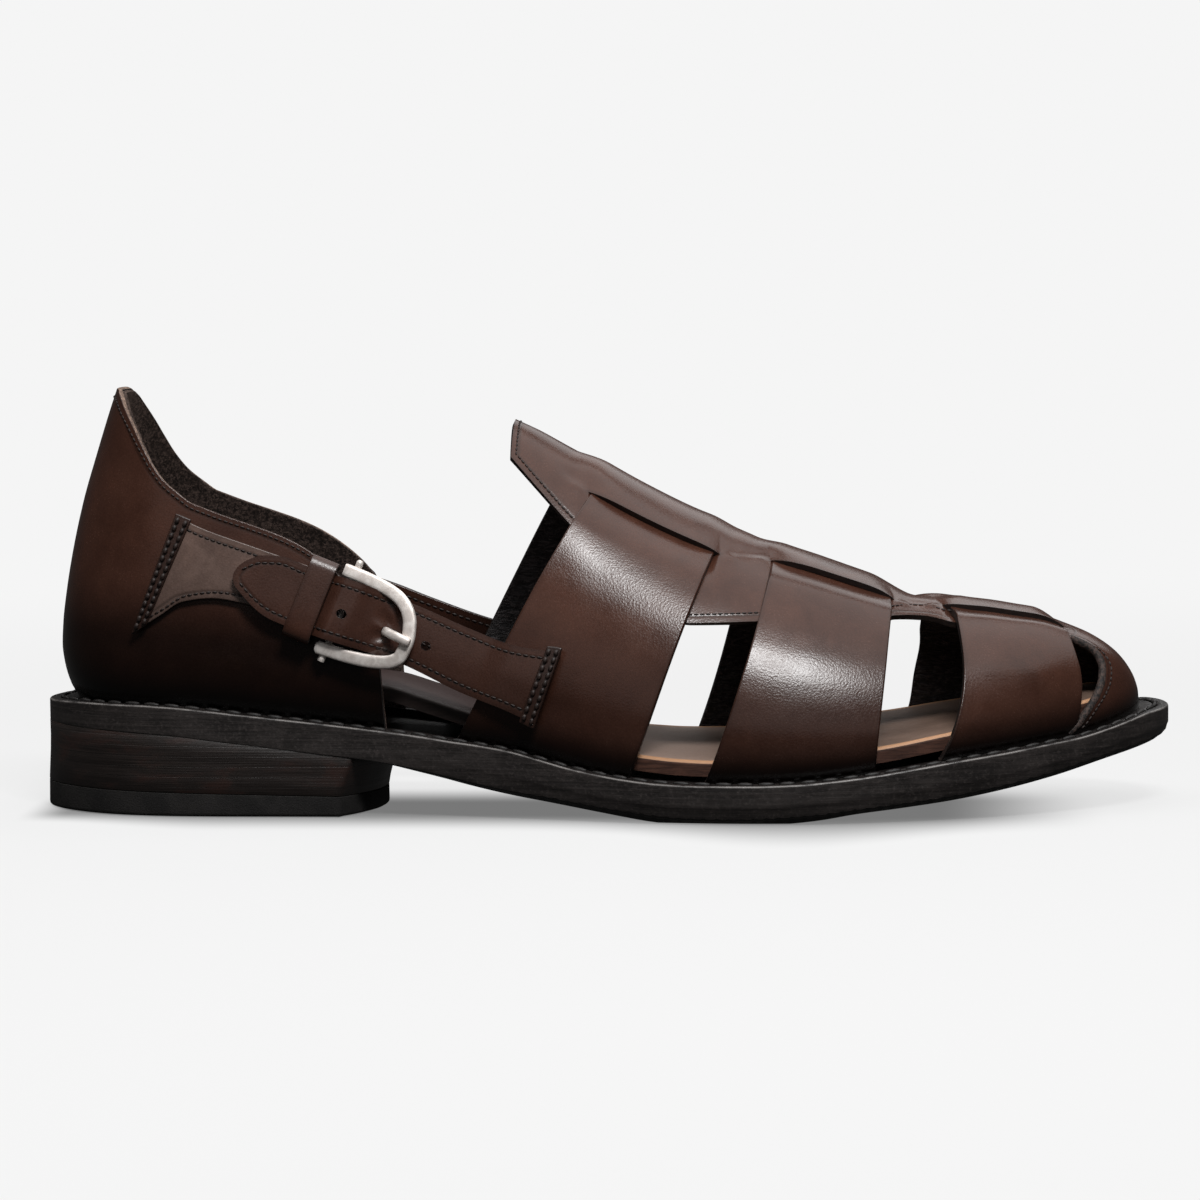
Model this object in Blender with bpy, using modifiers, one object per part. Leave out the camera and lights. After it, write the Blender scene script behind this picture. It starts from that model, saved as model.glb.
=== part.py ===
"""Fisherman sandal for the right foot: woven leather straps on a welted sole with a heel.

Tables and functions are in millimetres; meshes are made in metres.
Shoe axes: X from the back of the heel to the toe, Y across (lateral side negative), Z up.
"""
import bpy
import bmesh
import numpy as np
from mathutils import Vector

for old in list(bpy.data.objects):
    bpy.data.objects.remove(old, do_unlink=True)

MM = 0.001
GAP = 0.3            # air left between neighbouring pieces
VAMP_WALL = 2.0      # leather of straps, centre band and toe cap
QUARTER_WALL = 2.8   # outer leather and lining of the heel part
STRAP_RISE = 1.6     # a strap lying on a wing of the centre piece
BAND_RISE = 1.8      # the centre band riding over a strap
WELT_THICK = 2.2
INSOLE_THICK = 4.3
FAN_X = 40.0         # ahead of this the walls are cut by planes across the shoe
FAN_POWER = 2.3      # roundness of the heel seen from above
MEDIAL_SHIFT = 8.0   # every strap sits this much further back on the medial side
SIDE_STRAP_THICK = 2.0
TRIM = 0.8           # the upper is made this much too deep, then trimmed to the welt
CHAPE_THICK = 1.8
KEEPER_THICK = 1.4
FRAME_RADIUS = 1.35
BAR_RADIUS = 1.1
PRONG_RADIUS = 0.9
EDGE_ROUND = 0.7     # rounded upper rim of the welt and step on the sole's side
SOLE_STEP = 0.55     # share of the sole's side above the step
BEVEL_INSET, TREAD_INSET = 1.6, 4.4
RAND = 3.4           # leather of the upper turned in over the welt
LIFT_ROUND = 1.5     # bevelled foot of the top lift
SHARP_ANGLE = np.radians(35)

# Sole seen from above: x, y
SOLE_OUTLINE = [
    (-2.6, -0.5), (0.2, -11), (7.5, -20.5), (19, -28.5), (36, -32.8), (60, -33.8), (82, -34.4), (115, -37.8),
    (150, -45.5), (188, -51.3), (222, -48.2), (252, -40), (272, -31), (287, -20.3), (297, -8), (301.4, 4.5),
    (300, 15.5), (292, 27), (275, 38), (252, 45.6), (228, 50), (200, 50.3), (165, 42.8), (130, 33), (100, 29.2),
    (70, 30.5), (44, 32), (24, 29), (10, 21.5), (0.6, 11.5)]

# Line where the upper meets the welt, seen from above: x, y
FEATHER_OUTLINE = [
    (6.2, 0), (8.4, -11.6), (14.8, -20.2), (25, -25.7), (40, -27.6), (85, -28.8), (110, -31.4), (135, -36.6),
    (160, -42.2), (185, -45.6), (205, -45), (230, -40.3), (250, -34), (268, -25.8), (281, -17), (290, -6.5),
    (293.5, 5), (291.3, 13.6), (284, 22.4), (270, 30.6), (250, 38.2), (230, 42.6), (210, 44), (185, 41.4),
    (160, 36), (135, 30), (110, 25.8), (85, 24.6), (40, 26), (25, 24.4), (14.8, 19.3), (8.4, 11.2)]

# Heights along the sole: x, z
WELT_TOP = [(-3, 29.1), (12, 29.8), (24, 29.8), (34, 29.4), (42, 28.7), (54, 27.4), (66, 26.1), (78, 24.8),
            (90, 23.4), (102, 21.9), (110, 20.7), (118, 19.7), (126, 18.4), (134, 16.4), (142, 14.3),
            (150, 12.7), (158, 11.5), (166, 10.7), (178, 10.3), (190, 10.3), (202, 10.6), (210, 11.2),
            (222, 12.5), (233, 14.1), (245, 15.9), (257, 17.5), (268, 19.2), (277, 20.5), (284, 22.1),
            (290, 23.6), (296, 24.6), (302, 25.2)]
SOLE_EDGE = [(-3, 23.4), (12, 22.9), (34, 21.8), (48, 20.2), (62, 18.5), (75, 16.9), (83, 16), (95, 14.1),
             (102, 12.7), (109, 11.2), (116, 9.6), (123, 8.2), (130, 7), (136, 6.1), (143, 5), (150, 3.9),
             (157, 2.9), (164, 2), (171, 1.4), (184, 1.1), (198, 1.6), (209, 2.4), (217, 3.4), (230, 4.8),
             (244, 6.5), (257, 8.7), (270, 11.5), (284, 15.1), (298, 18.2), (302, 19.2)]
TREAD_DROP = [(-3, 0), (88, 0), (100, 0.5), (125, 1.1), (150, 1.4), (166, 1.8), (200, 1.8), (222, 1.2),
              (302, 1.1)]                                            # tread below the sole's edge
TOE_TWIST = [(150, 0), (285, 2), (302, 2)]                           # rise of the medial side
INSOLE_TOP = [(0, 37.4), (40, 37), (70, 36.3), (91, 34.3), (102, 31), (113, 27.6), (130, 22.9), (145, 19.5),
              (162, 17.2), (170, 16.4), (180, 16), (204, 17), (224, 19.1), (241, 22), (257, 25), (278, 28.7),
              (292, 31.5)]

# Wall of the upper, cut across the shoe
RIDGE = [(40, 152), (66, 138), (90, 124), (110, 112.8), (124.5, 104.4), (132, 100.8), (138.6, 97.1), (142, 95.2),
         (151, 89.6), (161, 84), (174, 77.6), (183, 74.1), (186, 72.9), (193, 69.8), (199.4, 67.4), (206, 65.2),
         (213, 62.7), (219.7, 60.3), (226.4, 57.9), (233, 55.6), (240, 54.8), (247, 53.4), (253.4, 52.6),
         (260, 51.5), (267, 50.3), (273.6, 48), (280.4, 45.1), (287.1, 40.5), (290.4, 36.6), (292.4, 32.8),
         (293.3, 29.4), (293.5, 26)]
RIDGE_Y = [(40, 0), (80, 1), (110, 3), (140, 4), (294, 5)]
ROUNDNESS = [(40, 2), (130, 1.95), (200, 2), (240, 2.1), (280, 2.3), (294, 2.3)]
SWELL = {-1: [(40, 2.6), (90, 2.6), (140, 2.2), (260, 1.8), (286, 0.8), (293.5, 0)],
         1: [(40, 2.6), (66, 4.6), (100, 4.6), (140, 2.8), (260, 1.8), (286, 0.8), (293.5, 0)]}
SWELL_SHAPE = {-1: [(0, 0), (0.06, 0.65), (0.13, 1), (0.22, 1), (0.34, 0.7), (0.45, 0.35), (0.55, 0.1), (0.65, 0),
                    (1, 0)],
               1: [(0, 0), (0.1, 0.6), (0.2, 0.85), (0.35, 1), (0.5, 0.8), (0.65, 0.4), (0.8, 0.12), (1, 0)]}

# Heel part: x of its back at height z, collar height by angle round the heel and by x, x of its front edge at z
HEEL_BACK = [(26, 7.2), (30, 5.6), (33, 3.8), (39, 2), (44, 1.4), (50, 1.7), (58, 2.7), (69, 4.6), (83, 7.8),
             (96, 11.7), (107, 15.2), (114, 17.6)]
COLLAR_FAN = [(0, 113.4), (18, 113.3), (27, 112), (38, 108.6), (48, 104.2), (57, 99), (65, 94), (74, 89.4),
              (83, 86.2), (90, 83.8)]
COLLAR_SIDE = [(40, 83.8), (48.8, 80.1), (56.4, 77.5), (66.1, 74.8), (71.1, 71.8), (75.5, 68.4), (80, 64.6),
               (83.5, 60.5)]
QUARTER_FRONT = [(20, 92.4), (26, 92), (40, 91), (50, 88.6), (56, 86), (61, 83.5)]

# Centre piece: lower edge at x, angle of the slits' upper lips, and where the band rides over a strap
WING_EDGE = [(126, 94), (133, 86.5), (141, 78), (150, 69.5), (158, 62), (166, 56), (174, 51.8), (192, 52),
             (228, 52.2), (236, 51.8), (242, 50.6), (258, 48), (270, 46), (274.5, 45.3)]
WING_SHIFT = [(118, 2), (126, 2), (150, 4), (174, MEDIAL_SHIFT), (290, MEDIAL_SHIFT)]   # medial side, by x
TOE_CAP_EDGE = [(278.2, 44.1), (280.8, 42.5), (282.8, 40.2), (283.7, 37.4), (283.5, 34.6), (282.1, 30.8),
                (280, 27.6), (277.5, 24), (273, 18)]
SLIT_ANGLE = [(126, 67), (145, 65.5), (180, 65), (195, 72.5), (228, 74), (241, 77.5), (273, 77.5), (294, 76)]
BAND_OVER = [(142, 0), (150, 1), (177, 1), (186, 0.4), (190, 0.4), (198, 1), (220, 1), (229, 0.2), (233, 0),
             (238, 0), (246, 1), (264, 1), (271, 0)]
BAND_STATIONS = [124.5, 130, 136.5, 142, 146, 150, 159, 168, 177, 181.5, 186, 190, 194, 198, 206, 214, 221, 225,
                 229, 233, 238, 242, 246, 255, 264, 268, 271, 275, 278.5, 281.5, 284.5, 287.2, 289.5, 291.3,
                 292.5, 293.2]

# Straps on the lateral side: x of the rear and front edges at the welt, half way up and at the ridge
STRAPS = [dict(rear=(111.4, 131.4, 150), front=(158, 170.4, 182)),
          dict(rear=(178, 188.8, 195.6), front=(223.2, 225.4, 227.3)),
          dict(rear=(240, 246, 243), front=(276, 277.2, 272.4))]

# Overlays on the side of the shoe, seen from the side: x, z along the upper and lower edges
INNER_STRAP = dict(top=[(72, 63.4), (82, 60.4), (90, 58), (98, 54.8), (113, 49.2), (121, 46.6)],
                   bottom=[(66, 48.6), (76, 45.4), (86, 42), (96, 37.6), (108, 33.2), (116, 30.8)])
CHAPE = dict(top=[(39.5, 78.8), (43.5, 76.6), (57, 71.9), (71.6, 66.8), (78, 64.4), (85.4, 61.8)],
             bottom=[(28.2, 50.4), (32.4, 53.6), (38.5, 57.3), (46, 58.2), (54.9, 56.8), (66, 52.4), (79.4, 47.2)])
BUCKLE_STRAP = dict(
    top=[(52.4, 64.6), (53.6, 66.4), (56, 68), (60, 69.2), (64.6, 69), (71.9, 66.3), (86, 61.6), (101, 56.2),
         (116.3, 49.8), (128.9, 44.9), (138.6, 43.2)],
    bottom=[(52.2, 63.6), (52.6, 61.8), (54.4, 59.4), (57.6, 56), (61, 53.4), (66.7, 50.9), (81, 46.4),
            (96.8, 41.2), (113.5, 33.5), (125, 29.4), (132, 26.4)])
# Height of the buckle strap's under face above the wall, by the distance ahead of the bar
STRAP_LIFT = [(-33, 2.4), (-13, 2.4), (-6, 2.7), (-3, 4.2), (-1.3, 5), (2.6, 5), (7, 3.6), (12, 2), (16.5, 0.9),
              (24, 0.5), (32, GAP), (62, GAP)]

# Buckle: directions on the wall, along the strap and along the bar, from the middle of the bar
BAR_X, BAR_Z = 81.0, 54.5
ALONG = (0.926, -0.376)
ACROSS = (0.376, 0.926)
FRAME_LINE = [(-2.8, 11.2, 3.5), (1.5, 11.1, 3.7), (7.5, 10.8, 4.3), (12.8, 9.9, 4.9), (16.6, 7.4, 5.5),
              (18.6, 3.6, 5.7), (19.2, -0.6, 5.7), (19, -4.2, 5.7), (17.4, -6.9, 5.6), (13.8, -9, 5.1),
              (9.4, -10.4, 4.5), (4.4, -10.9, 4), (1, -10.9, 3.7), (-2.8, -10.9, 3.5)]   # along, across, height
PRONG_LINE = [(-2.3, 1, 3.3), (-2.2, 1, 2.6), (-1.4, 1, 1.65), (0, 1, 1.2), (1.6, 1, 1.3), (5, 1, 1.5), (8.4, 1, 2),
              (12, 1, 4.4), (16, 1, 7.2), (18.6, 1, 8), (21.6, 1, 7.7)]
KEEPER_ARCH = [(-10.8, 0.7), (-11.2, 2.8), (-11, 5.1), (-10, 6.7), (-8, 7.3), (0, 7.4), (8, 7.3), (10, 6.7),
               (11, 5.1), (11.2, 2.8), (10.8, 0.7)]                                       # across, height
KEEPER_FROM, KEEPER_TO = -11.2, -4.8
# Holes through the strap: along, half length, half width
STRAP_HOLES = [(1.2, 1.2, 1.0), (11.6, 3.2, 1.3), (24.4, 1.2, 1.2)]

# Heel seen from above: x, y ahead of the sole's own outline
BREAST = [(79.5, -33.2), (84.5, -24), (88.4, -12), (89.6, -1.5), (88.4, 9), (84.5, 20), (79.5, 29.2)]
TOP_LIFT = 6.4

# Materials: red, green, blue, roughness, metallic
MATERIALS = dict(
    upper_leather=(0.085, 0.042, 0.026, 0.42, 0), insole_leather=(0.36, 0.23, 0.14, 0.55, 0),
    welt_leather=(0.07, 0.04, 0.028, 0.5, 0), sole_leather=(0.045, 0.032, 0.026, 0.55, 0),
    heel_leather=(0.06, 0.035, 0.025, 0.5, 0), lift_rubber=(0.025, 0.023, 0.022, 0.7, 0),
    buckle_metal=(0.5, 0.48, 0.45, 0.35, 1))


# ---------------------------------------------------------------- curves
def smooth(table):
    """Monotone cubic through rows of (x, value), held level beyond its ends."""
    x, v = np.array(table, float).T
    h, slope = np.diff(x), np.diff(v) / np.diff(x)
    m = np.zeros(len(x))
    m[0], m[-1] = slope[0], slope[-1]
    for i in range(1, len(x) - 1):
        if slope[i - 1] * slope[i] > 0:
            a, b = 2 * h[i] + h[i - 1], h[i] + 2 * h[i - 1]
            m[i] = (a + b) / (a / slope[i - 1] + b / slope[i])

    def value(q):
        q = np.clip(q, x[0], x[-1])
        i = np.clip(np.searchsorted(x, q, side="right") - 1, 0, len(h) - 1)
        t = (q - x[i]) / h[i]
        return ((1 + 2 * t) * (1 - t) ** 2 * v[i] + t * (1 - t) ** 2 * h[i] * m[i]
                + t * t * (3 - 2 * t) * v[i + 1] - t * t * (1 - t) * h[i] * m[i + 1])
    return value


def along(points, n):
    """n points spread evenly along a smooth line through the given points."""
    p = np.array(points, float)
    s = np.concatenate([[0], np.cumsum(np.linalg.norm(np.diff(p, axis=0), axis=1))])
    t = np.linspace(0, s[-1], n)
    return np.stack([smooth(np.stack([s, c], 1))(t) for c in p.T], 1)


def closed_spline(points, steps=24):
    """Smooth closed line through the points, sampled finely."""
    p = np.array(points, float)
    n = len(p)
    h = np.linalg.norm(np.roll(p, -1, 0) - p, axis=1)
    slope = (np.roll(p, -1, 0) - p) / h[:, None]
    a, rhs = np.zeros((n, n)), np.zeros((n, 2))
    for i in range(n):
        a[i, i - 1], a[i, i], a[i, (i + 1) % n] = h[i], 2 * (h[i] + h[i - 1]), h[i - 1]
        rhs[i] = 3 * (h[i] * slope[i - 1] + h[i - 1] * slope[i])
    m = np.linalg.solve(a, rhs)
    out = []
    for i in range(n):
        j = (i + 1) % n
        for t in np.arange(steps) / steps:
            out.append((1 + 2 * t) * (1 - t) ** 2 * p[i] + t * (1 - t) ** 2 * h[i] * m[i]
                       + t * t * (3 - 2 * t) * p[j] - t * t * (1 - t) * h[i] * m[j])
    return np.array(out)


class Plan:
    """A closed outline seen from above, going from the back along the lateral side."""

    def __init__(self, line):
        self.line = line
        self.toe = int(np.argmax(line[:, 0]))
        self.back = int(np.argmin(line[:, 0]))

    def inset(self, distance):
        p = self.line
        d = np.roll(p, -1, 0) - np.roll(p, 1, 0)
        inward = np.stack([-d[:, 1], d[:, 0]], 1) / np.linalg.norm(d, axis=1)[:, None]
        return Plan(p + inward * np.reshape(distance, (-1, 1)))

    def half(self, x, side):
        """y of one side at x."""
        p = np.roll(self.line, -self.back, 0)
        toe = (self.toe - self.back) % len(p)
        run = p[:toe + 1] if side < 0 else np.vstack([p[:1], p[toe:][::-1]])
        return np.interp(x, run[:, 0], run[:, 1])

    def ring(self, n=38):
        """2n points: lateral side from back to toe, then the medial side back again."""
        x0, x1 = self.line[:, 0].min(), self.line[:, 0].max()
        x = x0 + (x1 - x0) * (1 - np.cos(np.pi * np.arange(n + 1) / n)) / 2
        lateral = np.stack([x, self.half(x, -1)], 1)
        medial = np.stack([x, self.half(x, 1)], 1)[1:-1][::-1]
        return np.vstack([lateral, medial])


sole_plan = Plan(closed_spline(SOLE_OUTLINE))
feather_plan = Plan(closed_spline(FEATHER_OUTLINE))
MIDDLE_X = (sole_plan.line[:, 0].min() + sole_plan.line[:, 0].max()) / 2
MIDDLE_Y = (sole_plan.line[:, 1].min() + sole_plan.line[:, 1].max()) / 2

welt_top, sole_edge, tread_drop = smooth(WELT_TOP), smooth(SOLE_EDGE), smooth(TREAD_DROP)
toe_twist, insole_top, strap_lift = smooth(TOE_TWIST), smooth(INSOLE_TOP), smooth(STRAP_LIFT)
ridge_y, roundness = smooth(RIDGE_Y), smooth(ROUNDNESS)
swell = {side: smooth(SWELL[side]) for side in SWELL}
swell_shape = {side: smooth(SWELL_SHAPE[side]) for side in SWELL}
heel_back, collar_fan, collar_side = smooth(HEEL_BACK), smooth(COLLAR_FAN), smooth(COLLAR_SIDE)
quarter_front, wing_edge = smooth(QUARTER_FRONT), smooth(WING_EDGE)
slit_angle, band_over, wing_shift = smooth(SLIT_ANGLE), smooth(BAND_OVER), smooth(WING_SHIFT)
ridge_line = along(RIDGE, 1200)


def twist(x, y):
    """Rise of the sole towards the medial side, none at the lateral edge."""
    return toe_twist(x) * (np.asarray(y) - sole_plan.half(x, -1)) / 80


def ridge(x):
    return np.interp(x, ridge_line[:, 0], ridge_line[:, 1])


def foot(x, side):
    """Lowest point of the upper's outside at x, before it is trimmed to the welt: y, z."""
    y = feather_plan.half(x, side)
    return y, welt_top(x) + twist(x, y) - TRIM


# ---------------------------------------------------------------- the wall of the upper
def wall_y(x, z, side):
    """y of the upper's outside at x and height z."""
    if x < FAN_X:
        reach = (FAN_X - x) / (FAN_X - heel_back(z))
        return wall_y(FAN_X, z, side) * max(1 - reach ** FAN_POWER, 1e-4) ** (1 / FAN_POWER)
    y0, z0 = foot(x, side)
    n, yr = roundness(x), ridge_y(x)
    k = np.clip((z - z0) / (ridge(x) - z0), 0, 1)
    return yr + (y0 - yr) * (1 - k ** n) ** (1 / n) + side * swell[side](x) * swell_shape[side](k)


def arch_point(x, degrees):
    """Outside of the upper at x; 0 degrees is the lateral welt, 90 the ridge, 180 the medial welt."""
    side = -1 if degrees <= 90 else 1
    a = np.radians(min(degrees, 180 - degrees))
    y0, z0 = foot(x, side)
    n, yr = roundness(x), ridge_y(x)
    k = np.sin(a) ** (2 / n)
    y = yr + (y0 - yr) * np.cos(a) ** (2 / n) + side * swell[side](x) * swell_shape[side](k)
    return np.array([x, y, z0 + (ridge(x) - z0) * k])


def arch_normal(x, degrees):
    ahead = min(x + 0.3, RIDGE[-1][0])
    across = arch_point(x, min(degrees + 0.5, 180)) - arch_point(x, max(degrees - 0.5, 0))
    n = np.cross(arch_point(ahead, degrees) - arch_point(ahead - 0.6, degrees), across)
    return n / np.linalg.norm(n)


def fan_point(degrees, z, side):
    """Outside of the heel; 0 degrees is straight back and 90 sideways."""
    a = np.radians(degrees)
    reach, width = FAN_X - heel_back(z), abs(wall_y(FAN_X, z, side))
    r = ((np.cos(a) / reach) ** FAN_POWER + (np.sin(a) / width) ** FAN_POWER) ** (-1 / FAN_POWER)
    return np.array([FAN_X - r * np.cos(a), side * r * np.sin(a), z])


def on_wall(x, z, lift, side=-1):
    """Point at a height above the upper's outside."""
    e = 0.5
    p = np.array([x, wall_y(x, z, side), z])
    du = np.array([2 * e, wall_y(x + e, z, side) - wall_y(x - e, z, side), 0])
    dv = np.array([0, wall_y(x, z + e, side) - wall_y(x, z - e, side), 2 * e])
    n = np.cross(du, dv)
    n *= side * np.sign(n[1]) / np.linalg.norm(n)
    return p + n * lift


def ahead_of_bar(x, z):
    return (x - BAR_X) * ALONG[0] + (z - BAR_Z) * ALONG[1]


def at_buckle(run, across, lift):
    return on_wall(BAR_X + run * ALONG[0] + across * ACROSS[0],
                   BAR_Z + run * ALONG[1] + across * ACROSS[1], lift)


# ---------------------------------------------------------------- meshes
parts = bpy.data.collections.new("fisherman_sandal")
cutters = bpy.data.collections.new("cutters")
bpy.context.scene.collection.children.link(parts)
bpy.context.scene.collection.children.link(cutters)


def material(slot):
    mat = bpy.data.materials.get(slot)
    if mat is None:
        red, green, blue, rough, metal = MATERIALS[slot]
        mat = bpy.data.materials.new(slot)
        mat.use_nodes = True
        shader = mat.node_tree.nodes["Principled BSDF"]
        shader.inputs["Base Color"].default_value = (red, green, blue, 1)
        shader.inputs["Roughness"].default_value = rough
        shader.inputs["Metallic"].default_value = metal
    return mat


def place(name, bm, slot=None):
    """Make an object of the mesh, either a part with a material or a helper."""
    mesh = bpy.data.meshes.new(name)
    bm.to_mesh(mesh)
    bm.free()
    mesh.shade_smooth()
    mesh.set_sharp_from_angle(angle=SHARP_ANGLE)
    ob = bpy.data.objects.new(name, mesh)
    if slot:
        mesh.materials.append(material(slot))
        parts.objects.link(ob)
    else:
        cutters.objects.link(ob)
        ob.hide_render = True
        ob.display_type = "WIRE"
    return ob


def loft(name, rings, slot=None, ends="ladder"):
    """Skin over rings of points; the ends are closed by a ladder of faces, one face, or by a loop."""
    bm = bmesh.new()
    rows = []
    for ring in rings:
        p = (np.array(ring) - (MIDDLE_X, MIDDLE_Y, 0)) * MM
        rows.append([bm.verts.new(q) for q in p])
    n = len(rows[0])
    pairs = list(zip(rows, rows[1:]))
    if ends == "loop":
        pairs.append((rows[-1], rows[0]))
    for a, b in pairs:
        for i in range(n):
            j = (i + 1) % n
            bm.faces.new((a[i], a[j], b[j], b[i]))
    for row in () if ends == "loop" else (rows[0], rows[-1]):
        if ends == "face":
            bm.faces.new(row)
            continue
        first = 1 if ends == "outline" else 0
        other = [row[-i - 1 + first] for i in range(n)]
        for i in range(n // 2):
            quad = [row[i], row[i + 1], other[i + 1], other[i]]
            quad = [v for k, v in enumerate(quad) if v not in quad[:k]]
            if len(quad) > 2 and i < n // 2 - (0 if ends == "outline" else 1):
                bm.faces.new(quad)
    bmesh.ops.triangulate(bm, faces=bm.faces)
    bmesh.ops.recalc_face_normals(bm, faces=bm.faces)
    return place(name, bm, slot)


def sheet(name, grid, thickness, slot=None):
    """Leather of one thickness under a grid of points on its outer face."""
    bm = bmesh.new()
    rows = [[bm.verts.new((np.array(p) - (MIDDLE_X, MIDDLE_Y, 0)) * MM) for p in row] for row in grid]
    outward = 0
    for a, b in zip(rows, rows[1:]):
        for i in range(len(a) - 1):
            face = bm.faces.new((a[i], a[i + 1], b[i + 1], b[i]))
            face.normal_update()
            middle = face.calc_center_median()
            core = (min(max(middle.x, -0.11), 0.12), 0.003, 0.032)
            outward += face.normal.dot(middle - Vector(core)) * face.calc_area()
    if outward < 0:
        bmesh.ops.reverse_faces(bm, faces=bm.faces)
    ob = place(name, bm, slot)
    mod = ob.modifiers.new("leather", "SOLIDIFY")
    mod.thickness = thickness * MM
    mod.offset = -1
    mod.use_even_offset = True
    mod.use_quality_normals = True
    return ob


def from_curve(name, line, closed, **shape):
    """Mesh made from a curve through a line of points."""
    data = bpy.data.curves.new(name, "CURVE")
    for key, value in shape.items():
        setattr(data, key, value)
    spline = data.splines.new("POLY")
    spline.points.add(len(line) - 1)
    for point, p in zip(spline.points, line):
        point.co = (*p, 1)
    spline.use_cyclic_u = closed
    guide = bpy.data.objects.new(name + "_line", data)
    parts.objects.link(guide)
    bm = bmesh.new()
    bm.from_mesh(guide.evaluated_get(bpy.context.evaluated_depsgraph_get()).to_mesh())
    bpy.data.objects.remove(guide)
    bmesh.ops.remove_doubles(bm, verts=bm.verts, dist=1e-6)
    bmesh.ops.recalc_face_normals(bm, faces=bm.faces)
    return bm


def tube(name, line, radius, slot=None):
    """Round bar along a line of points."""
    line = [(np.array(p) - (MIDDLE_X, MIDDLE_Y, 0)) * MM for p in line]
    bm = from_curve(name, line, False, dimensions="3D", bevel_depth=radius * MM, bevel_resolution=2,
                    use_fill_caps=True)
    return place(name, bm, slot)


def side_prism(name, outline, y0, y1):
    """Block with an outline seen from the side, between two y."""
    line = [((x - MIDDLE_X) * MM, z * MM, 0) for x, z in outline]
    bm = from_curve(name, line, True, dimensions="2D", fill_mode="BOTH", extrude=(y1 - y0) / 2 * MM)
    for v in bm.verts:
        x, z, depth = v.co
        v.co = (x, ((y0 + y1) / 2 - MIDDLE_Y) * MM - depth, z)
    return place(name, bm)


def combine(ob, other, operation):
    mod = ob.modifiers.new(operation.lower() + "_" + other.name, "BOOLEAN")
    mod.operation = operation
    mod.solver = "EXACT"
    mod.object = other


def overlay(name, edges, n, columns, lift, thickness, side=-1, slot=None):
    """Strap laid on the side wall between an upper and a lower edge, its under face at a height."""
    grid = []
    for a, b in zip(along(edges["top"], n), along(edges["bottom"], n)):
        row = [a + (b - a) * c for c in np.linspace(0, 1, columns)]
        grid.append([on_wall(x, z, lift(x, z) + thickness, side) for x, z in row])
    return sheet(name, grid, thickness, slot)


# ---------------------------------------------------------------- sole
def heights(ring, z):
    return np.column_stack([ring, z(ring[:, 0], ring[:, 1])])


def welt_low(x, y):
    return welt_top(x) + twist(x, y) - WELT_THICK


def tread_edge(x, y):
    return sole_edge(x) + twist(x, y)


def tread(x, y):
    return np.maximum(tread_edge(x, y) - tread_drop(x), 0)


def outsole():
    def step(x, y):
        return welt_low(x, y) - GAP - SOLE_STEP * (welt_low(x, y) - tread_edge(x, y))

    def bevel(x, y):
        return tread_edge(x, y) + 0.25 * tread_drop(x)

    def inset(distance):
        return sole_plan.inset(0.2 + distance * (0.3 + tread_drop(sole_plan.line[:, 0]))).ring()

    rings = [heights(inset(0), lambda x, y: welt_low(x, y) - GAP), heights(inset(0), step),
             heights(inset(EDGE_ROUND), lambda x, y: step(x, y) - 0.4), heights(inset(BEVEL_INSET), bevel),
             heights(inset(TREAD_INSET), tread)]
    return loft("outsole", rings, "sole_leather", ends="outline")


def welt():
    def top(x, y):
        return welt_top(x) + twist(x, y)
    outer, rim = sole_plan.ring(), sole_plan.inset(EDGE_ROUND).ring()
    inner = feather_plan.inset(RAND).ring()
    rings = [heights(rim, welt_low), heights(outer, lambda x, y: top(x, y) - WELT_THICK + EDGE_ROUND),
             heights(outer, lambda x, y: top(x, y) - EDGE_ROUND), heights(rim, top), heights(inner, top),
             heights(inner, welt_low)]
    return loft("welt", rings, "welt_leather", ends="loop")


def insole():
    def top(x, y):
        return insole_top(x) + twist(x, y)
    wall = GAP + np.interp(feather_plan.line[:, 0], [80, 110, 280, 292],
                           [QUARTER_WALL, VAMP_WALL, VAMP_WALL, VAMP_WALL + 1.2])
    edge, round_edge = feather_plan.inset(wall + 0.2).ring(), feather_plan.inset(wall + 1.2).ring()
    core = feather_plan.inset(RAND + 2 * GAP).ring()
    rings = [heights(core, welt_low), heights(core, lambda x, y: top(x, y) - INSOLE_THICK),
             heights(edge, lambda x, y: top(x, y) - INSOLE_THICK + 0.1),
             heights(edge, lambda x, y: top(x, y) - 1),
             heights(round_edge, top)]
    return loft("insole", rings, "insole_leather", ends="outline")


def heel():
    """Stack and top lift under the rear of the sole, closed ahead by the curved breast."""
    lateral, medial = sole_plan.line[:sole_plan.toe], sole_plan.line[sole_plan.toe:]
    plan = Plan(np.vstack([lateral[lateral[:, 0] < BREAST[0][0]], along(BREAST, 60),
                           medial[medial[:, 0] < BREAST[-1][0]]]))

    def joint(x, y):
        return sole_edge(x) - GAP

    def level(z):
        return lambda x, y: np.full_like(x, z)

    def ring(inset):
        return plan.inset(inset).ring(20)
    loft("heel_stack", [heights(ring(0.4), joint), heights(ring(1), level(TOP_LIFT + GAP))], "heel_leather",
         ends="outline")
    loft("top_lift", [heights(ring(1.1), level(TOP_LIFT)), heights(ring(1.1), level(LIFT_ROUND - 0.6)),
                      heights(ring(1.1 + LIFT_ROUND), level(0))], "lift_rubber", ends="outline")


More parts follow.
